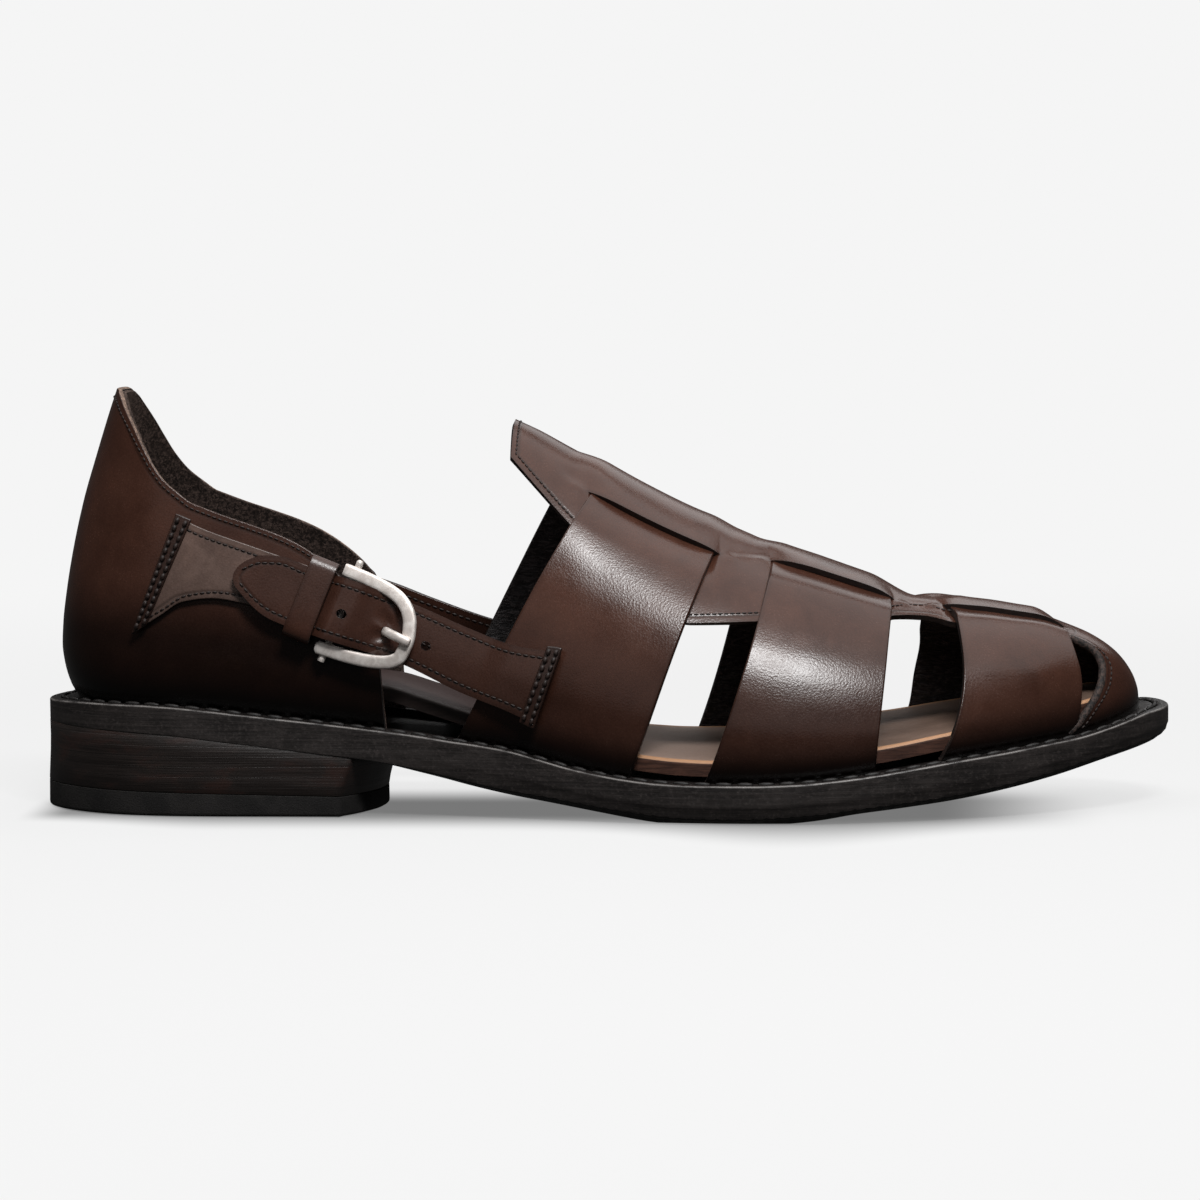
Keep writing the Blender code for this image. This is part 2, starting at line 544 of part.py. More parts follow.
# ---------------------------------------------------------------- upper
def quarter():
    grid = []
    rows = np.array([0, 0.06, 0.13, 0.22, 0.34, 0.48, 0.62, 0.76, 0.89, 1])
    shares = [1, 0.92, 0.78, 0.62, 0.46, 0.3, 0.15]
    ribs = [(-1, w, None) for w in shares] + [(-1, None, a) for a in (90, 78, 67, 57, 47, 37, 27, 14)]
    ribs += [(1, None, a) for a in (0, 14, 27, 37, 47, 57, 67, 78, 90)] + [(1, w, None) for w in shares[::-1]]
    for side, share, angle in ribs:
        if share is None:
            low = foot(FAN_X - 33 * np.cos(np.radians(angle)), side)[1] if angle else foot(6, side)[1]
            top = collar_fan(angle)
            line = [fan_point(angle, z, side) for z in low + (top - low) * rows]
        else:
            x_top = FAN_X + share * (QUARTER_FRONT[-1][1] - FAN_X)
            low = foot(FAN_X + share * (QUARTER_FRONT[0][1] - FAN_X), side)[1]
            line = []
            for z in low + (collar_side(x_top) - low) * rows:
                x = FAN_X + share * (quarter_front(z) - FAN_X)
                line.append(np.array([x, wall_y(x, z, side), z]))
        grid.append(line)
    return sheet("quarter", grid, QUARTER_WALL)


def centre_piece():
    """Toe cap, centre band and wings, not cut yet; the band rises over straps, its inside doesn't."""
    sections = []
    for x in BAND_STATIONS:
        angles = {}
        for side in (-1, 1):
            slit = slit_angle(x + (MEDIAL_SHIFT if side > 0 and x < 240 else 0))
            angles[side] = [(slit - 1.2) * k for k in (0, 0.12, 0.26, 0.42, 0.58, 0.73, 0.87, 1)]
            angles[side] += [slit, (slit + 90) / 2]
        line = angles[-1] + [90] + [180 - a for a in angles[1][::-1]]
        rise = [0] * 8 + [BAND_RISE * band_over(x)] * 5 + [0] * 8
        outer = [arch_point(x, a) + arch_normal(x, a) * r for a, r in zip(line, rise)]
        inner = [arch_point(x, a) - arch_normal(x, a) * VAMP_WALL for a in line]
        sections.append(outer + inner[::-1])
    return loft("upper", sections, "upper_leather")


def strap(number, side):
    """One strap from the welt up over the wing and in under the band."""
    spec = STRAPS[number]
    shift = MEDIAL_SHIFT if side > 0 else 0
    rear, front = (np.polyfit([0, 0.5, 1], spec[k], 2) for k in ("rear", "front"))
    middle = (spec["rear"][2] + spec["front"][2]) / 2
    end = slit_angle(middle) + 2
    grid = []
    for a in end * np.array([0, 0.08, 0.18, 0.3, 0.42, 0.54, 0.65, 0.76, 0.87, 0.95, 1]):
        share = np.sin(np.radians(a)) ** (2 / roundness(middle))
        row = []
        for w in (0, 0.25, 0.5, 0.75, 1):
            x = np.polyval(rear, share) * (1 - w) + np.polyval(front, share) * w - shift
            turn = a if side < 0 else 180 - a
            p = arch_point(x, turn)
            over = np.clip((p[2] - wing_edge(x + (wing_shift(x) if side > 0 else 0)) + 5) / 6, 0, 1)
            over = over * over * (3 - 2 * over)
            dive = np.clip((a - end + 9) / 7, 0, 1)
            row.append(p + arch_normal(x, turn) * STRAP_RISE * over * (1 - 0.9 * dive))
        grid.append(row)
    return sheet(f"strap_{number + 1}_{'lateral' if side < 0 else 'medial'}", grid, VAMP_WALL)


def upper():
    """One hollow body: the centre piece cut below its wings, the straps, the inner side strap, the quarter."""
    ob = centre_piece()
    below_wings = [(118, 5), (118, 103)] + WING_EDGE + TOE_CAP_EDGE + [(273, 5)]
    for name, side, y0, y1 in (("lateral", -1, -60, -1.5), ("medial", 1, 9, 60)):
        outline = [(x - (wing_shift(x) if side > 0 else 0), z) for x, z in below_wings]
        combine(ob, side_prism("below_wing_" + name, outline, y0, y1), "DIFFERENCE")
    for number in range(3):
        for side in (-1, 1):
            combine(ob, strap(number, side), "UNION")
    inner = overlay("inner_strap", INNER_STRAP, 11, 4, lambda x, z: -0.6, SIDE_STRAP_THICK + 0.3, side=1)
    combine(ob, inner, "UNION")
    combine(ob, quarter(), "UNION")
    around = sole_plan.inset(-3).ring()
    combine(ob, loft("below_welt", [heights(around, lambda x, y: welt_top(x) + twist(x, y) + GAP),
                                    heights(around, lambda x, y: np.full_like(x, -5))], ends="outline"),
            "DIFFERENCE")


# ---------------------------------------------------------------- buckle
def chape():
    ob = overlay("chape", CHAPE, 12, 5, lambda x, z: GAP, CHAPE_THICK, slot="upper_leather")
    corners = [(-1.1, -3), (-1.1, 6), (3.1, 6), (3.1, -3)]
    slot = loft("chape_slot", [[at_buckle(s, w, h) for w, h in corners] for s in (-4, 9)], ends="face")
    combine(ob, slot, "DIFFERENCE")


def buckle_strap():
    ob = overlay("buckle_strap", BUCKLE_STRAP, 26, 5, lambda x, z: strap_lift(ahead_of_bar(x, z)),
                 SIDE_STRAP_THICK, slot="upper_leather")
    for i, (run, half, width) in enumerate(STRAP_HOLES):
        line = [(run + np.sign(c) * (half - width) + width * c, 1 + width * s)
                for c, s in ((np.cos(a), np.sin(a)) for a in (np.arange(12) + 0.5) * np.pi / 6)]
        combine(ob, loft(f"strap_hole_{i + 1}", [[at_buckle(a, b, h) for a, b in line] for h in (-2, 10)],
                         ends="face"), "DIFFERENCE")


def keeper():
    grid = [[at_buckle(s, w, h) for s in np.linspace(KEEPER_FROM, KEEPER_TO, 3)]
            for w, h in along(KEEPER_ARCH, 19)]
    sheet("keeper", grid, KEEPER_THICK, "upper_leather")


def buckle():
    line = along(FRAME_LINE, 34)
    ob = tube("buckle_frame", [at_buckle(*p) for p in line], FRAME_RADIUS, "buckle_metal")
    bar = tube("buckle_bar", [at_buckle(0, w, 3.55) for w in np.linspace(-13.4, 13.6, 7)], BAR_RADIUS)
    combine(ob, bar, "UNION")
    tube("buckle_prong", [at_buckle(*p) for p in along(PRONG_LINE, 22)], PRONG_RADIUS, "buckle_metal")


outsole()
welt()
insole()
heel()
upper()
chape()
buckle_strap()
keeper()
buckle()
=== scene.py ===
"""Fisherman sandal for the right foot: leather panels, sewing, welt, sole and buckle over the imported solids.

Tables are in millimetres on the shoe's own axes: X from the back of the heel to the toe, Y across (lateral side
negative), Z up. Every piece's mesh is in metres in the frame of the solids.
"""
import math

import bmesh
import bpy
import numpy as np
from mathutils import Matrix, Vector
from mathutils.kdtree import KDTree


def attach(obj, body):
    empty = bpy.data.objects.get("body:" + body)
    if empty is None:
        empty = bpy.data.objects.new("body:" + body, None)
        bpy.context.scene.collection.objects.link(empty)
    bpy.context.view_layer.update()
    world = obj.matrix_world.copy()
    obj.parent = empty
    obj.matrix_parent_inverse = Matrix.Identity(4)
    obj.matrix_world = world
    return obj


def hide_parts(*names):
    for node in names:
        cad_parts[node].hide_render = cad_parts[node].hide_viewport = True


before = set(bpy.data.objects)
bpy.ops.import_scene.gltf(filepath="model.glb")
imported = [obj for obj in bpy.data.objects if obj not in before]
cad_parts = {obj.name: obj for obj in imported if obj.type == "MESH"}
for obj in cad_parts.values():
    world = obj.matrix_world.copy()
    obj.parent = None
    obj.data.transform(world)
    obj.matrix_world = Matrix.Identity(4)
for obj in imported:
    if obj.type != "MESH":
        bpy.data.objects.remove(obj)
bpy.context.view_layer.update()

MM = 0.001
FAN_X = 40.0             # behind this the upper fans round the heel
FAN_POWER = 2.3          # roundness of that fan
FAN_SHARE = 0.48         # share of each half of the quarter that lies in the fan
HEEL_REACH = 33.0        # from FAN_X back to the upper's foot behind the heel
MEDIAL_SHIFT = 8.0       # how much nearer the heel the medial side of each part lies
FOOT_SINK = 0.8          # how far the upper's foot reaches into the welt
WELT_THICK = 2.2
INSOLE_THICK = 4.3
RAND = 3.4               # how far the welt reaches under the upper
VAMP_LEATHER = 2.0
OUTER_LEATHER = 1.5
LINING = 1.2
SLIT_LEATHER = 1.5
STRAP_LEATHER = 2.1
BELT_LEATHER = 1.8
TRIM_LEATHER = 1.0
CHAPE_TOP = 1.8          # height of the chape over the quarter
TRIM_RISE = 0.9          # of the end strips over chape and strap
TOP_LIFT = 6.4
SEAM = 2.0               # from an edge to its stitches
FAR = 30.0               # distance that stands for no edge at all
SOLE_WIDTH = 80.0        # over which the sole's twist is given
ARCH_RADIUS = 42.0       # turns degrees of the arch into millimetres, near the band's slits
SLIT_GAP = 1.5           # least angle between a slit and its wing's lower edge
BAND_REAR, BAND_FRONT = 125.3, 274.5
INSIDE = (40, 270), 3.0, 32.0     # x range, y and z of a line inside the foot, which surfaces face away from
CAP_TIP = 293.45         # x where the toe cap closes

# Sole and feather line seen from above: x, y
SOLE_OUTLINE = [
    (-2.6, -0.5), (0.2, -11), (7.5, -20.5), (19, -28.5), (36, -32.8), (60, -33.8), (82, -34.4), (115, -37.8),
    (150, -45.5), (188, -51.3), (222, -48.2), (252, -40), (272, -31), (287, -20.3), (297, -8), (301.4, 4.5),
    (300, 15.5), (292, 27), (275, 38), (252, 45.6), (228, 50), (200, 50.3), (165, 42.8), (130, 33), (100, 29.2),
    (70, 30.5), (44, 32), (24, 29), (10, 21.5), (0.6, 11.5)]
FEATHER_OUTLINE = [
    (6.2, 0), (8.4, -11.6), (14.8, -20.2), (25, -25.7), (40, -27.6), (85, -28.8), (110, -31.4), (135, -36.6),
    (160, -42.2), (185, -45.6), (205, -45), (230, -40.3), (250, -34), (268, -25.8), (281, -17), (290, -6.5),
    (293.5, 5), (291.3, 13.6), (284, 22.4), (270, 30.6), (250, 38.2), (230, 42.6), (210, 44), (185, 41.4),
    (160, 36), (135, 30), (110, 25.8), (85, 24.6), (40, 26), (25, 24.4), (14.8, 19.3), (8.4, 11.2)]

# Heights along the sole: x, z
WELT_TOP = [(-3, 29.1), (12, 29.8), (24, 29.8), (34, 29.4), (42, 28.7), (54, 27.4), (66, 26.1), (78, 24.8),
            (90, 23.4), (102, 21.9), (110, 20.7), (118, 19.7), (126, 18.4), (134, 16.4), (142, 14.3),
            (150, 12.7), (158, 11.5), (166, 10.7), (178, 10.3), (190, 10.3), (202, 10.6), (210, 11.2),
            (222, 12.5), (233, 14.1), (245, 15.9), (257, 17.5), (268, 19.2), (277, 20.5), (284, 22.1),
            (290, 23.7), (296, 25.3), (302, 25.9)]
SOLE_EDGE = [(-3, 23.4), (12, 22.9), (34, 21.8), (48, 20.2), (62, 18.5), (75, 16.9), (83, 16), (95, 14.1),
             (102, 12.7), (109, 11.2), (116, 9.6), (123, 8.2), (130, 7), (136, 6.1), (143, 5), (150, 3.9),
             (157, 2.9), (164, 2), (171, 1.4), (184, 1.1), (198, 1.6), (209, 2.4), (217, 3.4), (230, 4.8),
             (244, 6.5), (257, 8.7), (270, 11.5), (284, 15.1), (298, 18.2), (302, 19.2)]
TREAD_DROP = [(-3, 0), (88, 0), (100, 0.5), (125, 1.1), (150, 1.4), (166, 1.8), (200, 1.8), (222, 1.2),
              (302, 1.1)]
TOE_TWIST = [(150, 0), (285, 2), (302, 2)]
INSOLE_TOP = [(0, 37.4), (40, 37), (70, 36.3), (91, 34.3), (102, 31), (113, 27.6), (130, 22.9), (145, 19.5),
              (162, 17.2), (170, 16.4), (180, 16), (204, 17), (224, 19.1), (241, 22), (257, 25), (278, 28.7),
              (292, 31.5)]

# Wall of the upper, cut across the shoe
RIDGE = [(40, 152), (66, 138), (90, 124), (110, 112.8), (124.5, 104.4), (132, 100.8), (138.6, 97.1), (142, 95.2),
         (151, 89.6), (161, 84), (174, 77.6), (183, 74.1), (186, 72.9), (193, 69.8), (199.4, 67.4), (206, 65.2),
         (213, 62.7), (219.7, 60.3), (226.4, 57.9), (233, 55.6), (240, 54.8), (247, 53.4), (253.4, 52.6),
         (260, 51.5), (267, 50.3), (273.6, 48), (280.4, 45.1), (287.1, 40.5), (290.4, 36.6), (292.4, 32.8),
         (293.3, 29.4), (293.5, 26)]
RIDGE_Y = [(40, 0), (80, 1), (110, 3), (140, 4), (294, 5)]
ROUNDNESS = [(40, 2), (130, 1.95), (200, 2), (240, 2.1), (280, 2.3), (294, 2.3)]
# How far the wall swells beyond the arch on each side, by x, and where up the wall, by share of its height
SWELL = {-1: [(40, 2.6), (90, 2.6), (140, 2.2), (260, 1.8), (286, 0.8), (293.5, 0)],
         1: [(40, 2.6), (66, 4.6), (100, 4.6), (140, 2.8), (260, 1.8), (286, 0.8), (293.5, 0)]}
SWELL_SHAPE = {-1: [(0, 0), (0.06, 0.65), (0.13, 1), (0.22, 1), (0.34, 0.7), (0.45, 0.35), (0.55, 0.1),
                    (0.65, 0), (1, 0)],
               1: [(0, 0), (0.1, 0.6), (0.2, 0.85), (0.35, 1), (0.5, 0.8), (0.65, 0.4), (0.8, 0.12), (1, 0)]}

# Heel part
HEEL_BACK = [(26, 7.2), (30, 5.6), (33, 3.8), (39, 2), (44, 1.4), (50, 1.7), (58, 2.7), (69, 4.6), (83, 7.8),
             (96, 11.7), (107, 15.2), (114, 17.6)]
COLLAR_FAN = [(0, 113.4), (18, 113.3), (27, 112), (38, 108.6), (48, 104.2), (57, 99), (65, 94), (74, 89.4),
              (83, 86.2), (90, 83.8)]
COLLAR_SIDE = [(40, 83.8), (48.8, 80.4), (56.4, 77.8), (63, 75.4), (68.5, 72.9), (73, 70.2), (77, 67.2),
               (80.5, 64), (83.5, 60.5)]
QUARTER_FRONT = [(20, 92.4), (26, 92), (40, 91), (50, 88.6), (56, 86), (61, 83.5)]

# Centre piece; slits and cap are given by the angle of the arch, band and wings by x
WING_EDGE = [(124.5, 95.6), (126, 94), (133, 86.5), (141, 78), (150, 69.5), (158, 62), (166, 56), (174, 51.8),
             (192, 52), (228, 52.2), (236, 51.8), (242, 50.6), (258, 48), (270, 46), (274.5, 45.3)]
WING_SHIFT = [(118, 2), (126, 2), (150, 4), (174, MEDIAL_SHIFT), (290, MEDIAL_SHIFT)]
CAP_START = [(0, 273), (4.9, 276.7), (7.8, 278), (13.5, 280), (21.9, 282.1), (34.1, 283.5), (44.9, 283.7),
             (55.9, 282.8), (62.8, 280.8), (65.4, 278.2), (67.2, 275.6), (68, 274.5), (90, 274.5)]
SLIT_ANGLE = [(126, 67), (145, 65.5), (180, 65), (195, 72.5), (228, 74), (241, 77.5), (273, 77.5), (294, 76)]
BAND_OVER = [(142, 0), (150, 1), (177, 1), (186, 0.4), (190, 0.4), (198, 1), (220, 1), (229, 0.2), (233, 0),
             (238, 0), (246, 1), (264, 1), (271, 0)]
BAND_RISE = 1.8

# Straps: x of the rear and front edges at the welt, half way up and at the ridge; on its medial side the front
# strap reaches further back, by medial_rear all the way down and by medial_bow low down
STRAPS = [dict(rear=(111.4, 131.4, 150), front=(158, 170.4, 182)),
          dict(rear=(178, 188.8, 195.6), front=(223.2, 225.4, 227.3)),
          dict(rear=(240, 246, 243), front=(276, 277.2, 272.4), medial_rear=3.8, medial_bow=1.4)]

# Slits of the band: x where each begins and ends, and how high its lip stands
SLITS = [(146, 181.5, 1.8), (194.6, 227.8, 1.8), (240.5, 273.4, 1.5)]

# Overlays on the side: x, z
INNER_STRAP = dict(top=[(72, 63.0), (82, 59.6), (90, 56.9), (98, 53.7), (113, 48.1), (121, 45.6)],
                   bottom=[(66, 49.6), (76, 46.4), (86, 43), (96, 38.6), (108, 34.2), (116, 31.8)])
CHAPE = dict(top=[(37.4, 79.8), (43.0, 77.0), (57, 71.9), (71.6, 66.8), (78, 64.4), (85.4, 61.8)],
             bottom=[(26.0, 49.6), (32.4, 53.6), (38.5, 57.3), (46, 58.2), (54.9, 56.8), (66, 52.4),
                     (79.4, 47.2)])
CHAPE_END = dict(top=[(36.8, 80.6), (38.8, 79.8), (40.9, 78.9)],
                 bottom=[(25.0, 48.6), (27.1, 49.9), (29.1, 51.2)])
STRAP_END = dict(top=[(137.0, 45.2), (139.1, 45.0), (141.1, 44.6)],
                 bottom=[(129.9, 26.3), (132.0, 25.4), (134.0, 24.6)])
BUCKLE_STRAP = dict(
    top=[(52.4, 64.6), (53.6, 66.4), (56, 68), (60, 69.2), (64.6, 69), (71.9, 66.3), (86, 61.6), (101, 56.2),
         (116.3, 49.8), (128.9, 45.3), (140.4, 43.6)],
    bottom=[(52.2, 63.6), (52.6, 61.8), (54.4, 59.4), (57.6, 56), (61, 53.4), (66.7, 50.9), (81, 46.4),
            (96.8, 41.2), (113.5, 33.5), (125, 29.4), (133.4, 26.0)])
# Height of the strap over the wall, by distance along it from the buckle's bar
STRAP_LIFT = [(-33, 2.4), (-13, 2.4), (-6, 2.7), (-3, 4.2), (-1.3, 5), (2.6, 5), (7, 3.6), (12, 2), (16.5, 0.9),
              (24, 0.5), (32, 0.3), (40, 0.5), (47, 1.4), (62, 1.7)]

# Buckle: along the strap, along the bar, height above the wall
BAR_X, BAR_Z = 81.0, 54.5
ALONG = (0.926, -0.376)
ACROSS = (0.376, 0.926)
FRAME_LINE = [(-3.2, 10.4, 3.5), (1.5, 10.4, 3.7), (7.5, 10.1, 4.3), (12.8, 9.2, 4.9), (16.9, 7.0, 5.5),
              (19.3, 3.4, 5.7), (20.3, -0.8, 5.7), (20.0, -4.3, 5.7), (18.0, -6.6, 5.6), (14.0, -8.3, 5.1),
              (9.4, -9.4, 4.5), (4.4, -10.1, 4), (1, -10.4, 3.7), (-2.8, -10.7, 3.5)]
PRONG_LINE = [(-2.3, 1, 3.3), (-2.2, 1, 2.6), (-1.4, 1, 1.65), (0, 1, 1.2), (1.6, 0.9, 1.3), (5, 0.5, 1.3),
              (9, 0, 1.2), (12.2, -0.2, 1.3), (13.1, -0.3, 2.8), (13.8, -0.3, 4.7), (15.4, -0.4, 6.1),
              (18.4, -0.5, 7.4), (21.3, -0.6, 7.7)]
BAR_LINE = [(0, -14.0, 3.1), (0, -12, 2.8), (0, -9, 1.5), (0, 0, 1.3), (0, 9, 1.5), (0, 12, 2.8),
            (0, 14.2, 3.1)]
KEEPER_ARCH = [(-10.8, 0.7), (-11.2, 2.8), (-11, 5.1), (-10, 6.7), (-8, 7.3), (0, 7.4), (8, 7.3), (10, 6.7),
               (11, 5.1), (11.2, 2.8), (10.8, 0.7)]
KEEPER_SPAN = (-12.2, -4.6)

# Along and across the strap, half length and radius
STRAP_HOLES = [(1.0, -0.6, 1.35, 1.2), (14.6, -0.3, 2.3, 1.3), (24.7, 0.3, 1.3, 1.2)]

# Front face of the heel seen from above: x, y
BREAST = [(79.5, -33.2), (84.5, -24), (88.4, -12), (89.6, -1.5), (88.4, 9), (84.5, 20), (79.5, 29.2)]
# Stitching groove of the welt: inset from the sole's edge, and height
WELT_GROOVE = ((4.6, 0.0), (4.1, -0.35), (3.6, -0.5), (3.1, -0.35), (2.6, 0.0), (1.9, 0.04))


# ---------------------------------------------------------------- curves
def hermite(t, a, b, slope_a, slope_b):
    """Cubic from a to b as t goes from 0 to 1, with the given slopes at its ends."""
    return ((1 + 2 * t) * (1 - t) ** 2 * a + t * (1 - t) ** 2 * slope_a
            + t * t * (3 - 2 * t) * b - t * t * (1 - t) * slope_b)


def smooth(table):
    """Monotone cubic through rows of (x, value), held level beyond its ends."""
    x, v = np.array(table, float).T
    h, slope = np.diff(x), np.diff(v) / np.diff(x)
    m = np.zeros(len(x))
    m[0], m[-1] = slope[0], slope[-1]
    for i in range(1, len(x) - 1):
        if slope[i - 1] * slope[i] > 0:
            a, b = 2 * h[i] + h[i - 1], h[i] + 2 * h[i - 1]
            m[i] = (a + b) / (a / slope[i - 1] + b / slope[i])

    def value(q):
        q = np.clip(q, x[0], x[-1])
        i = np.clip(np.searchsorted(x, q, side="right") - 1, 0, len(h) - 1)
        return hermite((q - x[i]) / h[i], v[i], v[i + 1], h[i] * m[i], h[i] * m[i + 1])
    return value


def run_length(points):
    """Distance along a line of points, at each of them."""
    return np.concatenate([[0], np.cumsum(np.linalg.norm(np.diff(points, axis=0), axis=1))])


def guide(points):
    """Smooth line through points as a function of the share of its length, from 0 to 1."""
    p = np.array(points, float)
    s = run_length(p)
    parts = [smooth(np.stack([s / s[-1], c], 1)) for c in p.T]
    return lambda t: np.stack([f(np.asarray(t, float)) for f in parts], -1)


def closed_spline(points):
    """Smooth closed line through the points, sampled finely."""
    p = np.array(points, float)
    n = len(p)
    h = np.linalg.norm(np.roll(p, -1, 0) - p, axis=1)
    slope = (np.roll(p, -1, 0) - p) / h[:, None]
    a, rhs = np.zeros((n, n)), np.zeros((n, 2))
    for i in range(n):
        a[i, i - 1], a[i, i], a[i, (i + 1) % n] = h[i], 2 * (h[i] + h[i - 1]), h[i - 1]
        rhs[i] = 3 * (h[i] * slope[i - 1] + h[i - 1] * slope[i])
    m = np.linalg.solve(a, rhs)
    t = (np.arange(24) / 24)[:, None]
    return np.concatenate([hermite(t, p[i - 1], p[i], h[i - 1] * m[i - 1], h[i - 1] * m[i])
                           for i in (np.arange(n) + 1) % n])


def step(t):
    """Smooth step from 0 to 1."""
    t = np.clip(t, 0, 1)
    return t * t * (3 - 2 * t)


def mix(a, b, t):
    return a + (b - a) * t


def lifted(height, by):
    """A height over two places, raised by a constant."""
    return lambda x, y: height(x, y) + by


def between(low, high, share):
    """A height part of the way from one to another."""
    return lambda x, y: mix(low(x, y), high(x, y), share)


def level(height):
    """The same height everywhere."""
    return lambda x, y: np.full_like(x, height)


class Outline:
    """A closed outline seen from above, going from the back along the lateral side."""

    def __init__(self, line):
        self.line = line
        self.toe, back = int(np.argmax(line[:, 0])), int(np.argmin(line[:, 0]))
        p, toe = np.roll(line, -back, 0), (self.toe - back) % len(line)
        self.run = {-1: p[:toe + 1], 1: np.vstack([p[:1], p[toe:][::-1]])}

    def inset(self, distance):
        p = self.line
        d = np.roll(p, -1, 0) - np.roll(p, 1, 0)
        inward = np.stack([-d[:, 1], d[:, 0]], 1) / np.linalg.norm(d, axis=1)[:, None]
        return Outline(p + inward * np.reshape(distance, (-1, 1)))

    def half(self, x, side):
        """y of one side at x."""
        return np.interp(x, self.run[side][:, 0], self.run[side][:, 1])


sole_plan, feather_plan = Outline(closed_spline(SOLE_OUTLINE)), Outline(closed_spline(FEATHER_OUTLINE))
MIDDLE = np.array([*(sole_plan.line.min(0) + sole_plan.line.max(0)) / 2, 0])
welt_top, sole_edge, tread_drop = smooth(WELT_TOP), smooth(SOLE_EDGE), smooth(TREAD_DROP)
toe_twist, insole_top, strap_lift = smooth(TOE_TWIST), smooth(INSOLE_TOP), smooth(STRAP_LIFT)
ridge_y, roundness, cap_start = smooth(RIDGE_Y), smooth(ROUNDNESS), smooth(CAP_START)
swell = {side: smooth(SWELL[side]) for side in SWELL}
swell_shape = {side: smooth(SWELL_SHAPE[side]) for side in SWELL}
heel_back, collar_fan, collar_side = smooth(HEEL_BACK), smooth(COLLAR_FAN), smooth(COLLAR_SIDE)
quarter_front, wing_edge, wing_shift = smooth(QUARTER_FRONT), smooth(WING_EDGE), smooth(WING_SHIFT)
slit_angle, band_over = smooth(SLIT_ANGLE), smooth(BAND_OVER)
ridge_line = guide(RIDGE)(np.linspace(0, 1, 1200))


def twist(x, y):
    """How far the sole's lateral side is raised over its medial side towards the toe."""
    return toe_twist(x) * (y - sole_plan.half(x, -1)) / SOLE_WIDTH


def top_of_welt(x, y):
    return welt_top(x) + twist(x, y)


def ridge(x):
    return np.interp(x, ridge_line[:, 0], ridge_line[:, 1])


def foot(x, side):
    """y and z where the upper meets the welt."""
    y = feather_plan.half(x, side)
    return y, top_of_welt(x, y) - FOOT_SINK


# ---------------------------------------------------------------- the upper's outside
def wall_y(x, z, side):
    """y of the upper's outside at x and height z."""
    ahead = np.maximum(x, FAN_X)
    y0, z0 = foot(ahead, side)
    n, yr = roundness(ahead), ridge_y(ahead)
    k = np.clip((z - z0) / (ridge(ahead) - z0), 0, 1)
    y = yr + (y0 - yr) * (1 - k ** n) ** (1 / n) + side * swell[side](ahead) * swell_shape[side](k)
    reach = np.clip((FAN_X - x) / (FAN_X - heel_back(z)), 0, 0.9999)
    return y * (1 - reach ** FAN_POWER) ** (1 / FAN_POWER)


def arch(x, degrees):
    """Outside of the upper at x; 0 degrees is the lateral welt, 90 the ridge, 180 the medial welt."""
    x, degrees = np.broadcast_arrays(np.asarray(x, float), np.asarray(degrees, float))
    a = np.radians(np.clip(np.minimum(degrees, 180 - degrees), 0, 90))
    lateral = degrees <= 90
    ends = [foot(x, -1), foot(x, 1)]
    y0, z0 = (np.where(lateral, ends[0][i], ends[1][i]) for i in (0, 1))
    n, yr = roundness(x), ridge_y(x)
    k = np.sin(a) ** (2 / n)
    puff = np.where(lateral, -swell[-1](x) * swell_shape[-1](k), swell[1](x) * swell_shape[1](k))
    y = yr + (y0 - yr) * np.cos(a) ** (2 / n) + puff
    return np.stack([x, y, z0 + (ridge(x) - z0) * k], -1)


def angle_at(x, z, side):
    """Angle of the arch at height z on one side, in degrees from that side's welt."""
    z0 = foot(x, side)[1]
    k = np.clip((z - z0) / (ridge(x) - z0), 0, 1)
    return np.degrees(np.arcsin(k ** (roundness(x) / 2)))


def fan(degrees, z, side):
    """Outside of the heel; 0 degrees is straight back and 90 sideways."""
    a = np.radians(degrees)
    reach, width = FAN_X - heel_back(z), np.abs(wall_y(np.full_like(z, FAN_X), z, side))
    r = ((np.cos(a) / reach) ** FAN_POWER + (np.sin(a) / width) ** FAN_POWER) ** (-1 / FAN_POWER)
    return np.stack([FAN_X - r * np.cos(a), side * r * np.sin(a), z], -1)


def raised(surface, a, b, lift, da, db):
    """Points at a height above a surface of two parameters."""
    p = surface(a, b)
    n = np.cross(surface(a + da, b) - surface(a - da, b), surface(a, b + db) - surface(a, b - db))
    n /= np.maximum(np.linalg.norm(n, axis=-1, keepdims=True), 1e-9)
    core = np.stack([np.clip(p[..., 0], *INSIDE[0]), *(np.full(p.shape[:-1], c) for c in INSIDE[1:])], -1)
    n *= np.where(np.sum(n * (p - core), -1, keepdims=True) < 0, -1, 1)
    return p + n * np.asarray(lift)[..., None]


def on_arch(x, degrees, lift):
    degrees = np.clip(degrees, 0.6, 179.4) + 0 * x
    return raised(arch, x, degrees, lift, 0.3, 0.5)


def on_wall(x, z, lift, side=-1):
    def surface(x, z):
        return np.stack([x, wall_y(x, z, side), z], -1)
    return raised(surface, x, z, lift, 0.5, 0.5)


def at_buckle(run, across, lift):
    """Points over the wall, given along and across the strap from the buckle's bar."""
    run, across, lift = np.broadcast_arrays(*(np.asarray(v, float) for v in (run, across, lift)))
    x, z = (start + run * a + across * b for start, a, b in zip((BAR_X, BAR_Z), ALONG, ACROSS))
    return on_wall(x, z, lift)


